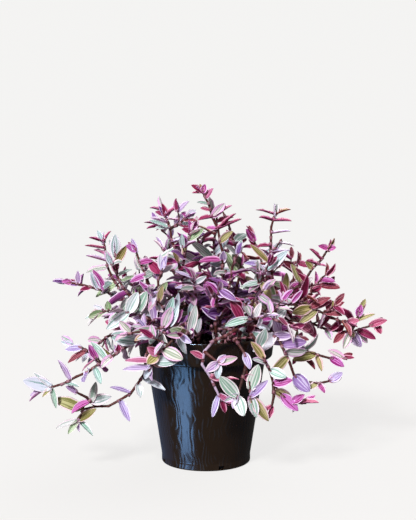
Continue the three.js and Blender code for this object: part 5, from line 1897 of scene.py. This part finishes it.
class Plant:
    """The leafy stems, grown round by round so that each finds what room the others leave."""

    MARGIN = 0.5
    NEAR = 8

    def __init__(self, nodes: Mapping[str, Object]) -> None:
        """Grows the bare stems in a space in which the pot and the soil stand.

        Args:
            nodes: The solids by name.
        """
        low, high = (np.array(corner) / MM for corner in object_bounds())
        room, front = (Room(low - self.MARGIN, high + self.MARGIN) for _ in range(2))
        for name in ("pot", "soil"):
            mesh = nodes[name].data
            points = np.array([vertex.co for vertex in mesh.vertices]) / MM
            room.add(points, [tuple(face.vertices) for face in mesh.polygons])
        self.stems: list[LeafyStem] = []
        for k, shoot in enumerate((*PLACED, *ARCHED, *HUNG)):
            solid = SolidLeaves(nodes["stem_" + shoot.name])
            self.stems.append(LeafyStem(shoot, k + 1, solid, room, front))

    def grow(self) -> None:
        """Grows the leaves and twigs."""
        self._each(LeafyStem.grow_aimed, "aimed leaves")
        self._grow_foremost()
        self._each(LeafyStem.grow_like, "leaves with the foremost and those on the solids")
        self._each(LeafyStem.grow_between, "leaves with those between")
        self._each(LeafyStem.grow_twigs, "leaves with those on twigs")

    def _each(self, grow: Callable[[LeafyStem], None], title: str) -> None:
        """Grows the leaves of one round, and reports how many there are.

        Args:
            grow: The round.
            title: What the leaves are called.
        """
        for stem in self.stems:
            grow(stem)
        LOG.info("%d %s", sum(len(stem.leaves) for stem in self.stems), title)

    def _grow_foremost(self) -> None:
        """Grows the leaves that stand in front of the others, each from the foremost stem near its root."""
        pairs = [(place, stem) for stem in self.stems for place in stem.places if place.along > MORE.lowest]
        for aimed in FOREMOST:
            near = [pair for pair in pairs if aimed.apart(pair[0].point) < self.NEAR]
            for place, stem in sorted(near, key=lambda pair: pair[0].point.y):
                if stem.grow_foremost(place, aimed):
                    break

    def build(self, materials: Sequence[Material]) -> None:
        """Builds the pieces.

        Args:
            materials: The leaf's material and the stem's.
        """
        for stem in self.stems:
            piece = stem.build(materials)
            LOG.info("%s: %d leaves, %d faces", piece.name, len(stem.leaves), len(piece.data.polygons))


# Shader nodes

Setting = str | float | bool | Triple | Sequence[tuple[float, Triple]]


class Wire:
    """The output of a shader node, on which arithmetic adds Math nodes."""

    def __init__(self, graph: Graph, socket: NodeSocket) -> None:
        """Wraps an output of a graph's node."""
        self.graph, self.socket = graph, socket

    def _math(self, operation: str, first: Operand, second: Operand = 0.0) -> Wire:
        """The result of a Math node."""
        return self.graph.add("ShaderNodeMath", {"operation": operation}, {0: first, 1: second})

    def __add__(self, other: Operand) -> Wire:
        """Sum."""
        return self._math("ADD", self, other)

    __radd__ = __add__

    def __sub__(self, other: Operand) -> Wire:
        """Difference."""
        return self._math("SUBTRACT", self, other)

    def __rsub__(self, other: Operand) -> Wire:
        """Difference from a number."""
        return self._math("SUBTRACT", other, self)

    def __mul__(self, other: Operand) -> Wire:
        """Product."""
        return self._math("MULTIPLY", self, other)

    __rmul__ = __mul__

    def __truediv__(self, other: Operand) -> Wire:
        """Quotient."""
        return self._math("DIVIDE", self, other)

    def __abs__(self) -> Wire:
        """Size without sign."""
        return self._math("ABSOLUTE", self)

    def least(self, other: Operand) -> Wire:
        """The lesser of two values."""
        return self._math("MINIMUM", self, other)

    def sine(self) -> Wire:
        """The sine of an angle in radians."""
        return self._math("SINE", self)

    def cosine(self) -> Wire:
        """The cosine of an angle in radians."""
        return self._math("COSINE", self)

    def rising(self, start: Operand, end: Operand) -> Wire:
        """A mask that rises smoothly from 0 at start to 1 at end."""
        settings = {"interpolation_type": "SMOOTHSTEP"}
        return self.graph.add("ShaderNodeMapRange", settings, {"Value": self, 1: start, 2: end})


Operand = Wire | float


class Graph:
    """The nodes of a material or of the world."""

    MIX_FIRST, MIX_SECOND, MIX_RESULT = 6, 7, 2

    def __init__(self, owner: Material | World) -> None:
        """Starts without nodes.

        Args:
            owner: The material or the world.
        """
        owner.use_nodes = True
        self.owner, self.tree = owner, owner.node_tree
        self.tree.nodes.clear()

    @classmethod
    def of_material(cls, name: str) -> Graph:
        """The nodes of a new material."""
        return cls(bpy.data.materials.new(name))

    def node(
        self,
        kind: str,
        settings: Mapping[str, Setting] | None = None,
        inputs: Mapping[int | str, Operand | Triple] | None = None,
    ) -> Node:
        """Makes a node.

        Args:
            kind: Its type.
            settings: Its own settings, or the stops of a ramp.
            inputs: Values or links of its sockets, by name or place.

        Returns:
            The node.
        """
        node = self.tree.nodes.new(kind)
        for name, value in (settings or {}).items():
            if name == "stops":
                self._set_stops(node.color_ramp, value)
            else:
                setattr(node, name, value)
        for key, value in (inputs or {}).items():
            socket = node.inputs[key]
            if isinstance(value, Wire):
                self.tree.links.new(value.socket, socket)
            else:
                socket.default_value = (*value, 1) if socket.type == "RGBA" else value
        return node

    def add(
        self,
        kind: str,
        settings: Mapping[str, Setting] | None = None,
        inputs: Mapping[int | str, Operand | Triple] | None = None,
        output: int | str = 0,
    ) -> Wire:
        """Makes a node and gives one of its outputs."""
        return Wire(self, self.node(kind, settings, inputs).outputs[output])

    @staticmethod
    def _set_stops(ramp: ColorRamp, stops: Sequence[tuple[float, Triple]]) -> None:
        """Gives a ramp its stops.

        Args:
            ramp: The ramp, with one or two stops of its own.
            stops: The place and the colour of each stop.
        """
        while len(ramp.elements) < len(stops):
            ramp.elements.new(0.5)
        for element, (place, shade) in zip(ramp.elements, stops):
            element.position = place
            element.color = (*shade, 1)

    def mix(self, share: Operand, first: Wire | Triple, second: Wire | Triple) -> Wire:
        """The mix of two colours, from 0 for the first to 1 for the second."""
        inputs = {0: share, self.MIX_FIRST: first, self.MIX_SECOND: second}
        return self.add("ShaderNodeMix", {"data_type": "RGBA"}, inputs, self.MIX_RESULT)

    def noise(self, place: Wire, scale: float, detail: float = 2, rough: float = 0.5) -> Wire:
        """A noise from 0 to 1. Detail is how many finer layers it has, and rough how strong they are."""
        inputs = {"Vector": place, "Scale": scale, "Detail": detail, "Roughness": rough}
        return self.add("ShaderNodeTexNoise", None, inputs, "Fac")

    def parts(self, vector: Wire) -> list[Wire]:
        """The three parts of a vector."""
        node = self.node("ShaderNodeSeparateXYZ", None, {0: vector})
        return [Wire(self, socket) for socket in node.outputs]

    def vector(self, x: Operand, y: Operand, z: Operand) -> Wire:
        """A vector from its parts."""
        return self.add("ShaderNodeCombineXYZ", None, {"X": x, "Y": y, "Z": z})

    def place(self) -> Wire:
        """The place on the part, in metres."""
        return self.add("ShaderNodeTexCoord", output="Object")

    def leaf_place(self) -> list[Wire]:
        """The place on a leaf or a stem, across and along it."""
        return self.parts(self.add("ShaderNodeUVMap", {"uv_map": "leaf_map"}))[:2]

    def painted(self) -> Iterator[list[Wire]]:
        """The three colours of the paint that the faces carry, and its three numbers."""
        nodes = [self.node("ShaderNodeAttribute", {"attribute_name": title}) for title in PAINT_LAYERS]
        return ([Wire(self, node.outputs[name]) for node in nodes] for name in ("Color", "Alpha"))

    def bump(self, height: Wire, distance: float, strength: float = 1) -> Wire:
        """A normal for a height from 0 to 1 that stands a distance in millimetres high."""
        inputs = {"Height": height, "Distance": distance * MM, "Strength": strength}
        return self.add("ShaderNodeBump", None, inputs)

    def finish(self, **sockets: Operand | Triple) -> Material:
        """Adds the surface's shader.

        Args:
            sockets: Values or links of its sockets, with _ for each space in their names.

        Returns:
            The material.
        """
        inputs = {name.replace("_", " "): value for name, value in sockets.items()}
        shader = self.add("ShaderNodeBsdfPrincipled", None, inputs)
        self.node("ShaderNodeOutputMaterial", None, {"Surface": shader})
        return self.owner


# Finishes


@dataclass(frozen=True)
class LeafFinish:
    """Satin leaf with long streaks, a pale margin and fine veins, in the colours that its faces carry.

    Each noise has its rate across the leaf, its rate along it, and how far the leaf's seed shifts it.
    """

    sectors: Triple = (2.3, 0.3, 91)
    streaks: Triple = (6, 0.8, 61)
    fine_streaks: Triple = (14, 1.5, 37)
    wear: Triple = (3, 5, 19)
    weights: Triple = (0.4, 0.3, 0.3)
    stripes: float = 4.5
    stripe_sway: float = 1.3
    stripe_shift: float = 7
    stripe_weight: float = 0.11
    level: float = 0.64
    level_fall: float = 0.28
    softness: Pair = (0.03, 0.04)
    streaked: float = 0.92
    margin_wear: float = 0.18
    margin_ends: Pair = (1.15, 0.75)
    rib_ends: Pair = (0.02, 0.08)
    rib_streaked: float = 0.35
    veins: float = 15
    vein_depth: float = 0.1
    heights: tuple[float, ...] = (0.3, 0.5, 0.5, 0.6)
    roughness: float = 0.44
    smoother: float = 0.08
    rougher: float = 0.16
    specular: float = 0.34

    def build(self) -> Material:
        """Builds the material.

        Returns:
            The material.
        """
        graph = Graph.of_material("leaf")
        across, along = graph.leaf_place()
        (ground, streak, margin), (seed, share, edge) = graph.painted()
        aside = abs(across - 0.5) * 2

        noises = ((self.sectors, 0), (self.streaks, 1), (self.fine_streaks, 1), (self.wear, 3))
        sector, broad, fine, worn = (
            graph.noise(graph.vector(across * wide, along * long, seed * shift), 1, detail)
            for (wide, long, shift), detail in noises
        )
        turn = (across * self.stripes + broad * self.stripe_sway + seed * self.stripe_shift) * 2 * math.pi
        sums = turn.sine() * self.stripe_weight
        for grain, weight in zip((sector, broad, fine), self.weights):
            sums = sums + grain * weight
        level = self.level - share * self.level_fall
        below, above = self.softness
        streaked = sums.rising(level - below, level + above)
        body = graph.mix(streaked * self.streaked, ground, streak)
        start, end = (1.0 - edge * part for part in self.margin_ends)
        rim = (aside + (worn - 0.5) * self.margin_wear).rising(start, end)
        edged = graph.mix(rim, body, margin)
        rib = 1 - aside.rising(*self.rib_ends)
        ribbed = graph.mix(rib * self.rib_streaked, edged, streak)

        ridge, grain, bumps, groove = self.heights
        ridges = (across * self.veins * 2 * math.pi).sine()
        height = ridges * ridge + fine * grain + worn * bumps - rib * groove
        return graph.finish(
            Base_Color=ribbed,
            Roughness=(self.roughness - self.smoother + worn * self.rougher),
            Normal=graph.bump(height, self.vein_depth),
            Specular_IOR_Level=self.specular,
        )


@dataclass(frozen=True)
class StemFinish:
    """Thin juicy bark with long streaks, in the colours that the stem's faces carry.

    Rates are those around the stem and along it, and how far the stem's seed shifts the noise.
    """

    streak_rates: Triple = (1.6, 2.2, 83)
    streak_scale: float = 1.7
    patch_rates: Triple = (0.7, 5, 29)
    patch_scale: float = 1.2
    level: float = 0.7
    level_fall: float = 0.4
    softness: float = 0.07
    streaked: float = 0.8
    patch_ends: Pair = (0.56, 0.7)
    patched: float = 0.55
    roughness: float = 0.44
    rougher: float = 0.12
    heights: Pair = (0.7, 0.3)
    depth: float = 0.25
    specular: float = 0.4

    def build(self) -> Material:
        """Builds the material.

        Returns:
            The material.
        """
        graph = Graph.of_material("stem")
        across, along = graph.leaf_place()
        (ground, streak, patch), (seed, share, _) = graph.painted()
        turn = across * 2 * math.pi
        x, y = turn.cosine(), turn.sine()
        long, patches = (
            graph.noise(graph.vector(x * wide, y * wide, along * far + seed * shift), scale, detail)
            for (wide, far, shift), scale, detail in (
                (self.streak_rates, self.streak_scale, 2),
                (self.patch_rates, self.patch_scale, 3),
            )
        )
        level = self.level - share * self.level_fall
        streaked = long.rising(level - self.softness, level + self.softness)
        body = graph.mix(streaked * self.streaked, ground, streak)
        mottled = graph.mix(patches.rising(*self.patch_ends) * self.patched, body, patch)
        ridge, bumps = self.heights
        return graph.finish(
            Base_Color=mottled,
            Roughness=self.roughness + long * self.rougher,
            Normal=graph.bump(long * ridge + patches * bumps, self.depth),
            Specular_IOR_Level=self.specular,
        )


@dataclass(frozen=True)
class PotFinish:
    """Black moulded plastic, glossy, with the faint upright waves that moulding leaves."""

    roughness: float = 0.15
    waves: int = 76
    wave_sway: float = 26
    wave_depth: float = 0.15
    sway_grain: Pair = (18, 26)
    wave_grain: Pair = (7, 16)
    dust_grain: Pair = (9, 14)
    scuff_grain: Pair = (1.4, 1.1)
    wave_ends: Pair = (0.38, 0.6)
    line_ends: Pair = (0.2, 0.9)
    foot_dust_height: float = 16
    dust_ends: Pair = (0.5, 0.8)
    foot_dust_ends: Pair = (0.35, 0.7)
    dust_share: float = 0.5
    foot_dust_share: float = 0.8
    dusty: float = 0.06
    plastic: Triple = (35, 24, 13)
    dust: Triple = (104, 82, 58)
    dust_rougher: float = 0.12
    scuff_rougher: float = 0.05
    line_rougher: float = 0.26
    refraction: float = 1.9
    specular: float = 0.4
    tint: Triple = (0.5, 0.72, 1)

    def build(self) -> Material:
        """Builds the material.

        Returns:
            The material.
        """
        graph = Graph.of_material("pot_gloss_plastic")
        x, y, z = (part / MM for part in graph.parts(graph.place()))

        def grain(size: Pair, detail: float, *rough: float) -> Wire:
            """A noise whose grains are so wide and so high."""
            wide, high = size
            return graph.noise(graph.vector(x / wide, y / wide, z / high), 1, detail, *rough)

        turn = graph.add("ShaderNodeMath", {"operation": "ARCTAN2"}, {0: y, 1: x})
        ripples = (turn * self.waves + grain(self.sway_grain, 1) * self.wave_sway).sine()
        rippled = ripples * grain(self.wave_grain, 1).rising(*self.wave_ends)
        lines = rippled.rising(*self.line_ends)
        dust, scuffs = grain(self.dust_grain, 4, 0.6), grain(self.scuff_grain, 2)
        low = 1 - z.rising(0, self.foot_dust_height)
        foot_dust = low * dust.rising(*self.foot_dust_ends) * self.foot_dust_share
        dusty = (dust.rising(*self.dust_ends) * self.dust_share + foot_dust).least(1.0)
        dustier = self.roughness + dusty * self.dust_rougher
        return graph.finish(
            Base_Color=graph.mix(dusty * self.dusty, colour(*self.plastic), colour(*self.dust)),
            Roughness=dustier + scuffs * self.scuff_rougher + lines * self.line_rougher,
            Normal=graph.bump(rippled * 0.5 + 0.5, self.wave_depth),
            IOR=self.refraction,
            Specular_IOR_Level=self.specular,
            Specular_Tint=self.tint,
        )


@dataclass(frozen=True)
class SoilFinish:
    """Damp dark peat with lighter fibres."""

    lump_noise: Triple = (260, 5, 0.65)
    fibre_noise: Triple = (900, 3, 0.6)
    weights: Pair = (0.7, 0.3)
    shades: tuple[tuple[float, Triple], ...] = (
        (0.3, (14, 10, 8)),
        (0.55, (40, 29, 22)),
        (0.8, (84, 64, 48)),
    )
    roughness: float = 0.9
    smoother: float = 0.2
    depth: float = 1.2

    def build(self) -> Material:
        """Builds the material.

        Returns:
            The material.
        """
        graph = Graph.of_material("soil_peat")
        lumps, fibres = (graph.noise(graph.place(), *how) for how in (self.lump_noise, self.fibre_noise))
        lump, fibre = self.weights
        grains = lumps * lump + fibres * fibre
        stops = [(place, colour(*shade)) for place, shade in self.shades]
        return graph.finish(
            Base_Color=graph.add("ShaderNodeValToRGB", {"stops": stops}, {"Fac": grains}),
            Roughness=self.roughness - fibres * self.smoother,
            Normal=graph.bump(grains, self.depth),
        )


# Pot and soil


SIDE_SHARE, EASE = 0.4, 1.2


def softened(points: Sequence[Pair], radius: float, steps: int = 3) -> list[Pair]:
    """Rounds the corners of an outline.

    Args:
        points: The outline's corners, which stay as they are at its two ends.
        radius: How far from a corner its rounding starts, where there is room for that.
        steps: How many faces a rounding has.

    Returns:
        The rounded outline.
    """
    given = [Vector(point) for point in points]
    smooth = [given[0]]
    for before, corner, after in zip(given, given[1:], given[2:]):
        ways = (before - corner, after - corner)
        start, end = (way.normalized() * min(radius, way.length * SIDE_SHARE) for way in ways)
        parts = [k / steps for k in range(steps + 1)]
        bend = [corner + start * (1 - part) ** 2 + end * part**2 for part in parts]
        smooth += [corner + start * EASE, *bend, corner + end * EASE]
    return [tuple(point) for point in (*smooth, given[-1])]


def round_faces(rings: int, facets: int) -> Faces:
    """The faces of a closed round body. Its points are its bottom's middle, its rings and its top's middle.

    Args:
        rings: How many rings it has.
        facets: How many corners a ring has.

    Returns:
        The faces.
    """
    faces, last = [], rings * facets + 1
    for k in range(facets):
        after = (k + 1) % facets
        faces.append((0, 1 + after, 1 + k))
        for low in range(1, last - facets, facets):
            faces.append((low + k, low + after, low + facets + after, low + facets + k))
        faces.append((last - facets + k, last - facets + after, last))
    return faces


def lathe(name: str, profile: Sequence[Pair], facets: int) -> Object:
    """Turns an outline, which starts and ends on the axis, into a closed round body.

    Args:
        name: The body's name.
        profile: Pairs of radius and height, from the bottom's middle round to the top's.
        facets: How many faces the body has round it.

    Returns:
        The body, in the scene.
    """
    (_, bottom), *rings, (_, top) = profile
    points = [polar(turn, radius, height) for radius, height in rings for turn in turns_round(facets)]
    return body_of(name, [(0, 0, bottom), *points, (0, 0, top)], round_faces(len(rings), facets))


def body_of(name: str, points: Sequence[Triple], faces: Faces) -> Object:
    """Makes an object from points in millimetres and faces.

    Args:
        name: Its name.
        points: The points.
        faces: The faces.

    Returns:
        The object, in the scene.
    """
    mesh = bpy.data.meshes.new(name)
    mesh.from_pydata([Vector(point) * MM for point in points], [], faces)
    return added(name, mesh)


def cut(body: Object, cutters: Sequence[Object]) -> None:
    """Cuts bodies out of another, and removes them.

    Args:
        body: What is cut.
        cutters: What is cut out of it.
    """
    for cutter in cutters:
        modifier = body.modifiers.new("cut", "BOOLEAN")
        modifier.operation, modifier.object, modifier.solver = "DIFFERENCE", cutter, "EXACT"
    shape = body.evaluated_get(bpy.context.evaluated_depsgraph_get())
    body.data = bpy.data.meshes.new_from_object(shape)
    body.modifiers.clear()
    for cutter in cutters:
        bpy.data.objects.remove(cutter)


def smooth_to(body: Object, angle: float) -> None:
    """Shades a body smooth, but for edges sharper than an angle in degrees."""
    body.data.polygons.foreach_set("use_smooth", [True] * len(body.data.polygons))
    body.data.set_sharp_from_angle(angle=math.radians(angle))


@dataclass(frozen=True)
class Pot:
    """The nursery pot: a tapered wall on a low foot, with a broad band round its rim."""

    height: float = 134
    rim_radius: float = 70
    rim_skirt_radius: float = 67.6
    rim_depth: float = 24
    wall_top_radius: float = 61
    wall_foot_radius: float = 45.2
    foot_radius: float = 45.5
    foot_height: float = 6
    wall: float = 1.8
    floor: float = 3
    edge: float = 1
    facets: int = 144
    rounding: float = 0.9
    drains: int = 4
    drain_radius: float = 4
    drain_ring: float = 26
    drain_facets: int = 32
    slot_width: float = 6
    slot_top: float = 5
    slot_bottom: float = 1.4
    slot_start: float = 200
    smooth_below: float = 40

    @property
    def ledge(self) -> float:
        """The height of the rim band's lower edge."""
        return self.height - self.rim_depth

    def wall_at(self, height: float) -> float:
        """The wall's outer radius at a height below the rim band."""
        part = (height - self.foot_height) / (self.ledge - self.foot_height)
        return self.wall_foot_radius + (self.wall_top_radius - self.wall_foot_radius) * part

    def band_at(self, height: float) -> float:
        """The radius inside the rim band at a height."""
        part = (height - self.ledge) / self.rim_depth
        return self.rim_skirt_radius + (self.rim_radius - self.rim_skirt_radius) * part - self.wall

    def _outline(self) -> list[Pair]:
        """The pot's outline.

        Returns:
            Radius and height of its corners, from the underside's middle round to the floor's.
        """
        shoulder = self.foot_height + self.edge
        return [
            (0, 0),
            (self.foot_radius - self.edge, 0),
            (self.foot_radius, self.edge),
            (self.foot_radius, self.foot_height),
            (self.wall_at(shoulder), shoulder),
            (self.wall_at(self.ledge), self.ledge),
            (self.rim_skirt_radius - self.edge, self.ledge),
            (self.rim_skirt_radius, self.ledge + self.edge),
            (self.rim_radius, self.height - self.edge),
            (self.rim_radius - self.edge / 2, self.height),
            (self.band_at(self.height), self.height),
            (self.band_at(self.ledge + self.wall), self.ledge + self.wall),
            (self.wall_at(self.ledge) - self.wall, self.ledge + self.wall),
            (self.wall_at(self.floor) - self.wall, self.floor),
            (0, self.floor),
        ]

    def _slot(self, turn: float) -> Object:
        """A cutter for a drainage slot in the foot.

        Args:
            turn: Where it is, in radians from +X.

        Returns:
            The cutter.
        """
        long, wide = self.floor + 1, self.slot_width / 2
        points = []
        for radius in (self.foot_radius - long, self.foot_radius + long):
            for aside in (-wide, wide):
                for height in (self.slot_bottom, self.slot_top):
                    x = radius * math.cos(turn) - aside * math.sin(turn)
                    y = radius * math.sin(turn) + aside * math.cos(turn)
                    points.append((x, y, height))
        faces = [(0, 1, 3, 2), (4, 6, 7, 5), (0, 4, 5, 1), (2, 3, 7, 6), (0, 2, 6, 4), (1, 5, 7, 3)]
        return body_of("slot", points, faces)

    def _drain(self, turn: float) -> Object:
        """A cutter for a drainage hole in the floor.

        Args:
            turn: Where it is, in radians from +X.

        Returns:
            The cutter.
        """
        under, over, radius = -1, self.floor + 1, self.drain_radius
        hole = lathe("drain", [(0, under), (radius, under), (radius, over), (0, over)], self.drain_facets)
        middle = Vector((math.cos(turn), math.sin(turn), 0)) * self.drain_ring * MM
        hole.data.transform(Matrix.Translation(middle))
        return hole

    def build(self, material: Material) -> Object:
        """Builds the pot in place of its solid.

        Args:
            material: Its material.

        Returns:
            The pot.
        """
        pot = lathe("nursery_pot", softened(self._outline(), self.rounding), self.facets)
        turns = turns_round(self.drains)
        slots = [self._slot(turn + math.radians(self.slot_start)) for turn in turns]
        cut(pot, slots + [self._drain(turn) for turn in turns])
        smooth_to(pot, self.smooth_below)
        pot.data.materials.clear()
        pot.data.materials.append(material)
        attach(pot, BODY)
        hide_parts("pot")
        return pot


@dataclass(frozen=True)
class Soil:
    """The potting soil: it fills the pot, with a crumbly top."""

    pot: Pot
    gap: float = 0.3
    edge_drop: float = 2
    edge_steps: int = 4
    level_slack: float = 0.01
    flat_radius: float = 54
    facets: int = 96
    rings: int = 34
    bump: float = 1.6
    crumbs: int = 260
    crumb_radius: Pair = (0.8, 2.6)
    crumb_rows: int = 4
    crumb_facets: int = 7
    crumb_lift: float = 0.25
    crumb_uneven: Pair = (0.7, 1.1)
    crumb_margin: float = 2
    uneven_margin: float = 6
    lumps: float = 0.09
    grains: float = 0.35
    grain_share: float = 0.6
    smooth_below: float = 60

    def _outline(self) -> list[Pair]:
        """The soil's outline.

        Returns:
            Radius and height of its corners, from the underside's middle round to the top's.
        """
        pot, gap = self.pot, self.gap
        ledge, edge_top = pot.ledge + pot.wall + gap, GROWTH.soil_top - self.edge_drop
        edge = pot.band_at(edge_top) - 2 * gap
        inner, steps = [], self.edge_steps
        for k in range(1, steps + 1):
            radius = edge + (self.flat_radius - edge) * k / steps
            inner.append((radius, edge_top + self.edge_drop * k / steps))
        step = self.flat_radius / self.rings
        flat = [(self.flat_radius - step * k, GROWTH.soil_top) for k in range(1, self.rings)]
        return [
            (0, pot.floor + gap),
            (pot.wall_at(pot.floor) - pot.wall - gap, pot.floor + gap),
            (pot.wall_at(pot.ledge) - pot.wall - gap, ledge),
            (pot.band_at(pot.ledge + pot.wall) - 2 * gap, ledge),
            (edge, edge_top),
            *inner,
            *flat,
            (0, GROWTH.soil_top),
        ]

    def _crumb(self, draw: Draw) -> tuple[list[Vector], Faces]:
        """One crumb, an uneven lump that sits on the top.

        Args:
            draw: The numbers to draw from.

        Returns:
            Its points and its faces.
        """
        radius = draw.between(*self.crumb_radius)
        out = (self.flat_radius + self.crumb_margin) * math.sqrt(draw.between(0, 1))
        turn = draw.between(0, math.tau)
        middle = Vector(polar(turn, out, GROWTH.soil_top + radius * self.crumb_lift))
        points = [middle + Vector((0, 0, -radius))]
        for row in range(1, self.crumb_rows):
            tilt = math.pi * row / self.crumb_rows
            turns = turns_round(self.crumb_facets)
            ways = [Vector(polar(turn, math.sin(tilt), -math.cos(tilt))) for turn in turns]
            points += [middle + way * radius * draw.between(*self.crumb_uneven) for way in ways]
        faces = round_faces(self.crumb_rows - 1, self.crumb_facets)
        return [*points, middle + Vector((0, 0, radius))], faces

    def build(self, material: Material) -> Object:
        """Builds the soil in place of its solid.

        Args:
            material: Its material.

        Returns:
            The soil.
        """
        fill = lathe("fill", self._outline(), self.facets)
        points = [vertex.co / MM for vertex in fill.data.vertices]
        top = GROWTH.soil_top - self.edge_drop - self.level_slack
        for point in points:
            if point.z > top and point.xy.length < self.flat_radius + self.uneven_margin:
                grain = self.grain_share * noise.noise(point * self.grains)
                point.z += self.bump * (noise.noise(point * self.lumps) + grain)
        faces = [tuple(face.vertices) for face in fill.data.polygons]
        bpy.data.objects.remove(fill)
        draw = Draw(SEED)
        for _ in range(self.crumbs):
            more, lump = self._crumb(draw)
            faces += [tuple(corner + len(points) for corner in face) for face in lump]
            points += more
        soil = body_of("soil_fill", points, faces)
        smooth_to(soil, self.smooth_below)
        soil.data.materials.append(material)
        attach(soil, BODY)
        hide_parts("soil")
        return soil


# Studio


@dataclass(frozen=True)
class SoftSun:
    """A distant soft light: where it comes from, how wide it looks in degrees, its strength and colour."""

    name: str
    towards: Triple
    width: float
    strength: float
    shade: Triple = (1, 1, 1)

    def build(self) -> None:
        """Adds the light to the scene."""
        light = bpy.data.lights.new(self.name, "SUN")
        light.angle = math.radians(self.width)
        light.energy, light.color = self.strength, self.shade
        lamp = added(self.name, light)
        lamp.rotation_euler = Vector(self.towards).to_track_quat("Z", "Y").to_euler()


@dataclass(frozen=True)
class Panel:
    """A blue panel that only the pot reflects, down the left of its wall.

    The wall leans out, so that it mirrors what lies below its own height. The panel therefore reaches below
    the floor, and the floor doesn't hide it from the pot.
    """

    name: str
    heading: float
    size: Pair
    watts: float
    shade: Triple
    distance: float = 420
    middle_height: float = -150

    def build(self, pot: Object) -> None:
        """Adds the panel to the scene.

        Args:
            pot: The pot.
        """
        light = bpy.data.lights.new(self.name, "AREA")
        light.shape = "RECTANGLE"
        light.size, light.size_y = (side * MM for side in self.size)
        light.energy, light.color = self.watts, self.shade
        lamp = added(self.name, light)
        place = Vector(out_at(self.heading, self.distance, self.middle_height))
        lamp.location = place * MM
        lamp.rotation_euler = (-place).to_track_quat("-Z", "Y").to_euler()
        lamp.visible_camera = False
        only_pot = bpy.data.collections.new("reflects_" + self.name)
        only_pot.objects.link(pot)
        lamp.light_linking.receiver_collection = only_pot
        lamp.light_linking.blocker_collection = only_pot


PANELS = (
    Panel("strip_panel", 222, (250, 120), 0.4, (0.48, 0.72, 1)),
    Panel("side_panel", 140, (620, 200), 0.08, (0.3, 0.5, 1)),
)


@dataclass(frozen=True)
class Studio:
    """The pale floor, the even light all round and the soft suns."""

    floor_radius: float = 9000
    floor_sides: int = 96
    fade: Pair = (300, 2600)
    glow: float = 0.83
    floor_shade: Triple = (0.72, 0.712, 0.7)
    air: Triple = (0.905, 0.9, 0.89)
    bounced: Triple = (1, 0.86, 0.9)
    lighting: float = 0.36
    mirrored: float = 0.06
    suns: tuple[SoftSun, ...] = (
        SoftSun("key", (-0.45, -0.95, 0.78), 11, 4.05, (1, 0.985, 0.965)),
        SoftSun("rear", (0.5, 0.7, 0.9), 50, 1.3, (0.96, 0.98, 1)),
    )

    def _floor(self) -> None:
        """Adds the floor, which turns into the colour of the air far out."""
        graph = Graph.of_material("studio_floor")
        out = graph.add("ShaderNodeVectorMath", {"operation": "LENGTH"}, {0: graph.place()}, "Value") / MM
        far = out.rising(*self.fade) * (1 - self.glow) + self.glow
        near = graph.add("ShaderNodeBsdfDiffuse", None, {"Color": self.floor_shade})
        air = graph.add("ShaderNodeEmission", None, {"Color": self.air, "Strength": 1.0})
        surface = graph.add("ShaderNodeMixShader", None, {0: far, 1: near, 2: air})
        graph.node("ShaderNodeOutputMaterial", None, {"Surface": surface})
        points = [polar(turn, self.floor_radius, 0) for turn in turns_round(self.floor_sides)]
        floor = body_of("studio_floor", points, [tuple(range(self.floor_sides))])
        floor.data.materials.append(graph.owner)
        floor.visible_glossy = floor.visible_diffuse = False
        floor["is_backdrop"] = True

    def _world(self) -> None:
        """The air: the light that it gives, and the colours in which the gloss and the camera see it."""
        world = bpy.context.scene.world = bpy.data.worlds.new("studio")
        graph = Graph(world)
        path = graph.node("ShaderNodeLightPath")
        lights = ((self.bounced, self.lighting), (self.air, self.mirrored), (self.air, 1.0))
        shown, *others = (
            graph.add("ShaderNodeBackground", None, {"Color": shade, "Strength": strength})
            for shade, strength in lights
        )
        for ray, other in zip(("Is Glossy Ray", "Is Camera Ray"), others):
            inputs = {0: Wire(graph, path.outputs[ray]), 1: shown, 2: other}
            shown = graph.add("ShaderNodeMixShader", None, inputs)
        graph.node("ShaderNodeOutputWorld", None, {"Surface": shown})

    def build(self) -> None:
        """Builds the studio."""
        self._floor()
        self._world()
        for sun in self.suns:
            sun.build()
        view = bpy.context.scene.view_settings
        view.view_transform, view.look = "Standard", "None"


@dataclass(frozen=True)
class Viewpoint:
    """The camera: it looks level at the plant from a little above, as in the photograph."""

    target: Triple = (2.0, 0, 207.4)
    distance: float = 1300
    elevation: float = 7
    sensor: float = 36
    view_width: float = 421.7
    clip_end: float = 100

    def build(self) -> None:
        """Adds the camera to the scene."""
        lens = self.sensor * self.distance / self.view_width
        camera = bpy.data.cameras.new("camera")
        camera.sensor_fit, camera.sensor_width, camera.lens = "HORIZONTAL", self.sensor, lens
        camera.clip_end = self.clip_end
        tilt = math.radians(self.elevation)
        back = Vector((0, -math.cos(tilt), math.sin(tilt)))
        eye = added("camera", camera)
        eye.location = (Vector(self.target) + back * self.distance) * MM
        eye.rotation_euler = (-back).to_track_quat("-Z", "Y").to_euler()
        bpy.context.scene.camera = eye


def corners(bounds: tuple[Vector, Vector]) -> list[list[float]]:
    """A box's two corners as plain lists."""
    return [list(corner) for corner in bounds]


def main() -> None:
    """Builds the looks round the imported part."""
    logging.basicConfig(level=logging.INFO, format="%(message)s")
    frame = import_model()
    solid_box = corners(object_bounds())
    Viewpoint().build()
    Studio().build()
    pot = Pot()
    shell = pot.build(PotFinish().build())
    for panel in PANELS:
        panel.build(shell)
    for piece in (shell, Soil(pot).build(SoilFinish().build())):
        LOG.info("%s: %d faces", piece.name, len(piece.data.polygons))
    plant = Plant(frame["nodes"])
    plant.grow()
    plant.build([LeafFinish().build(), StemFinish().build()])
    {"cad": solid_box, "visual": corners(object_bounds())}


if __name__ == "__main__":
    main()
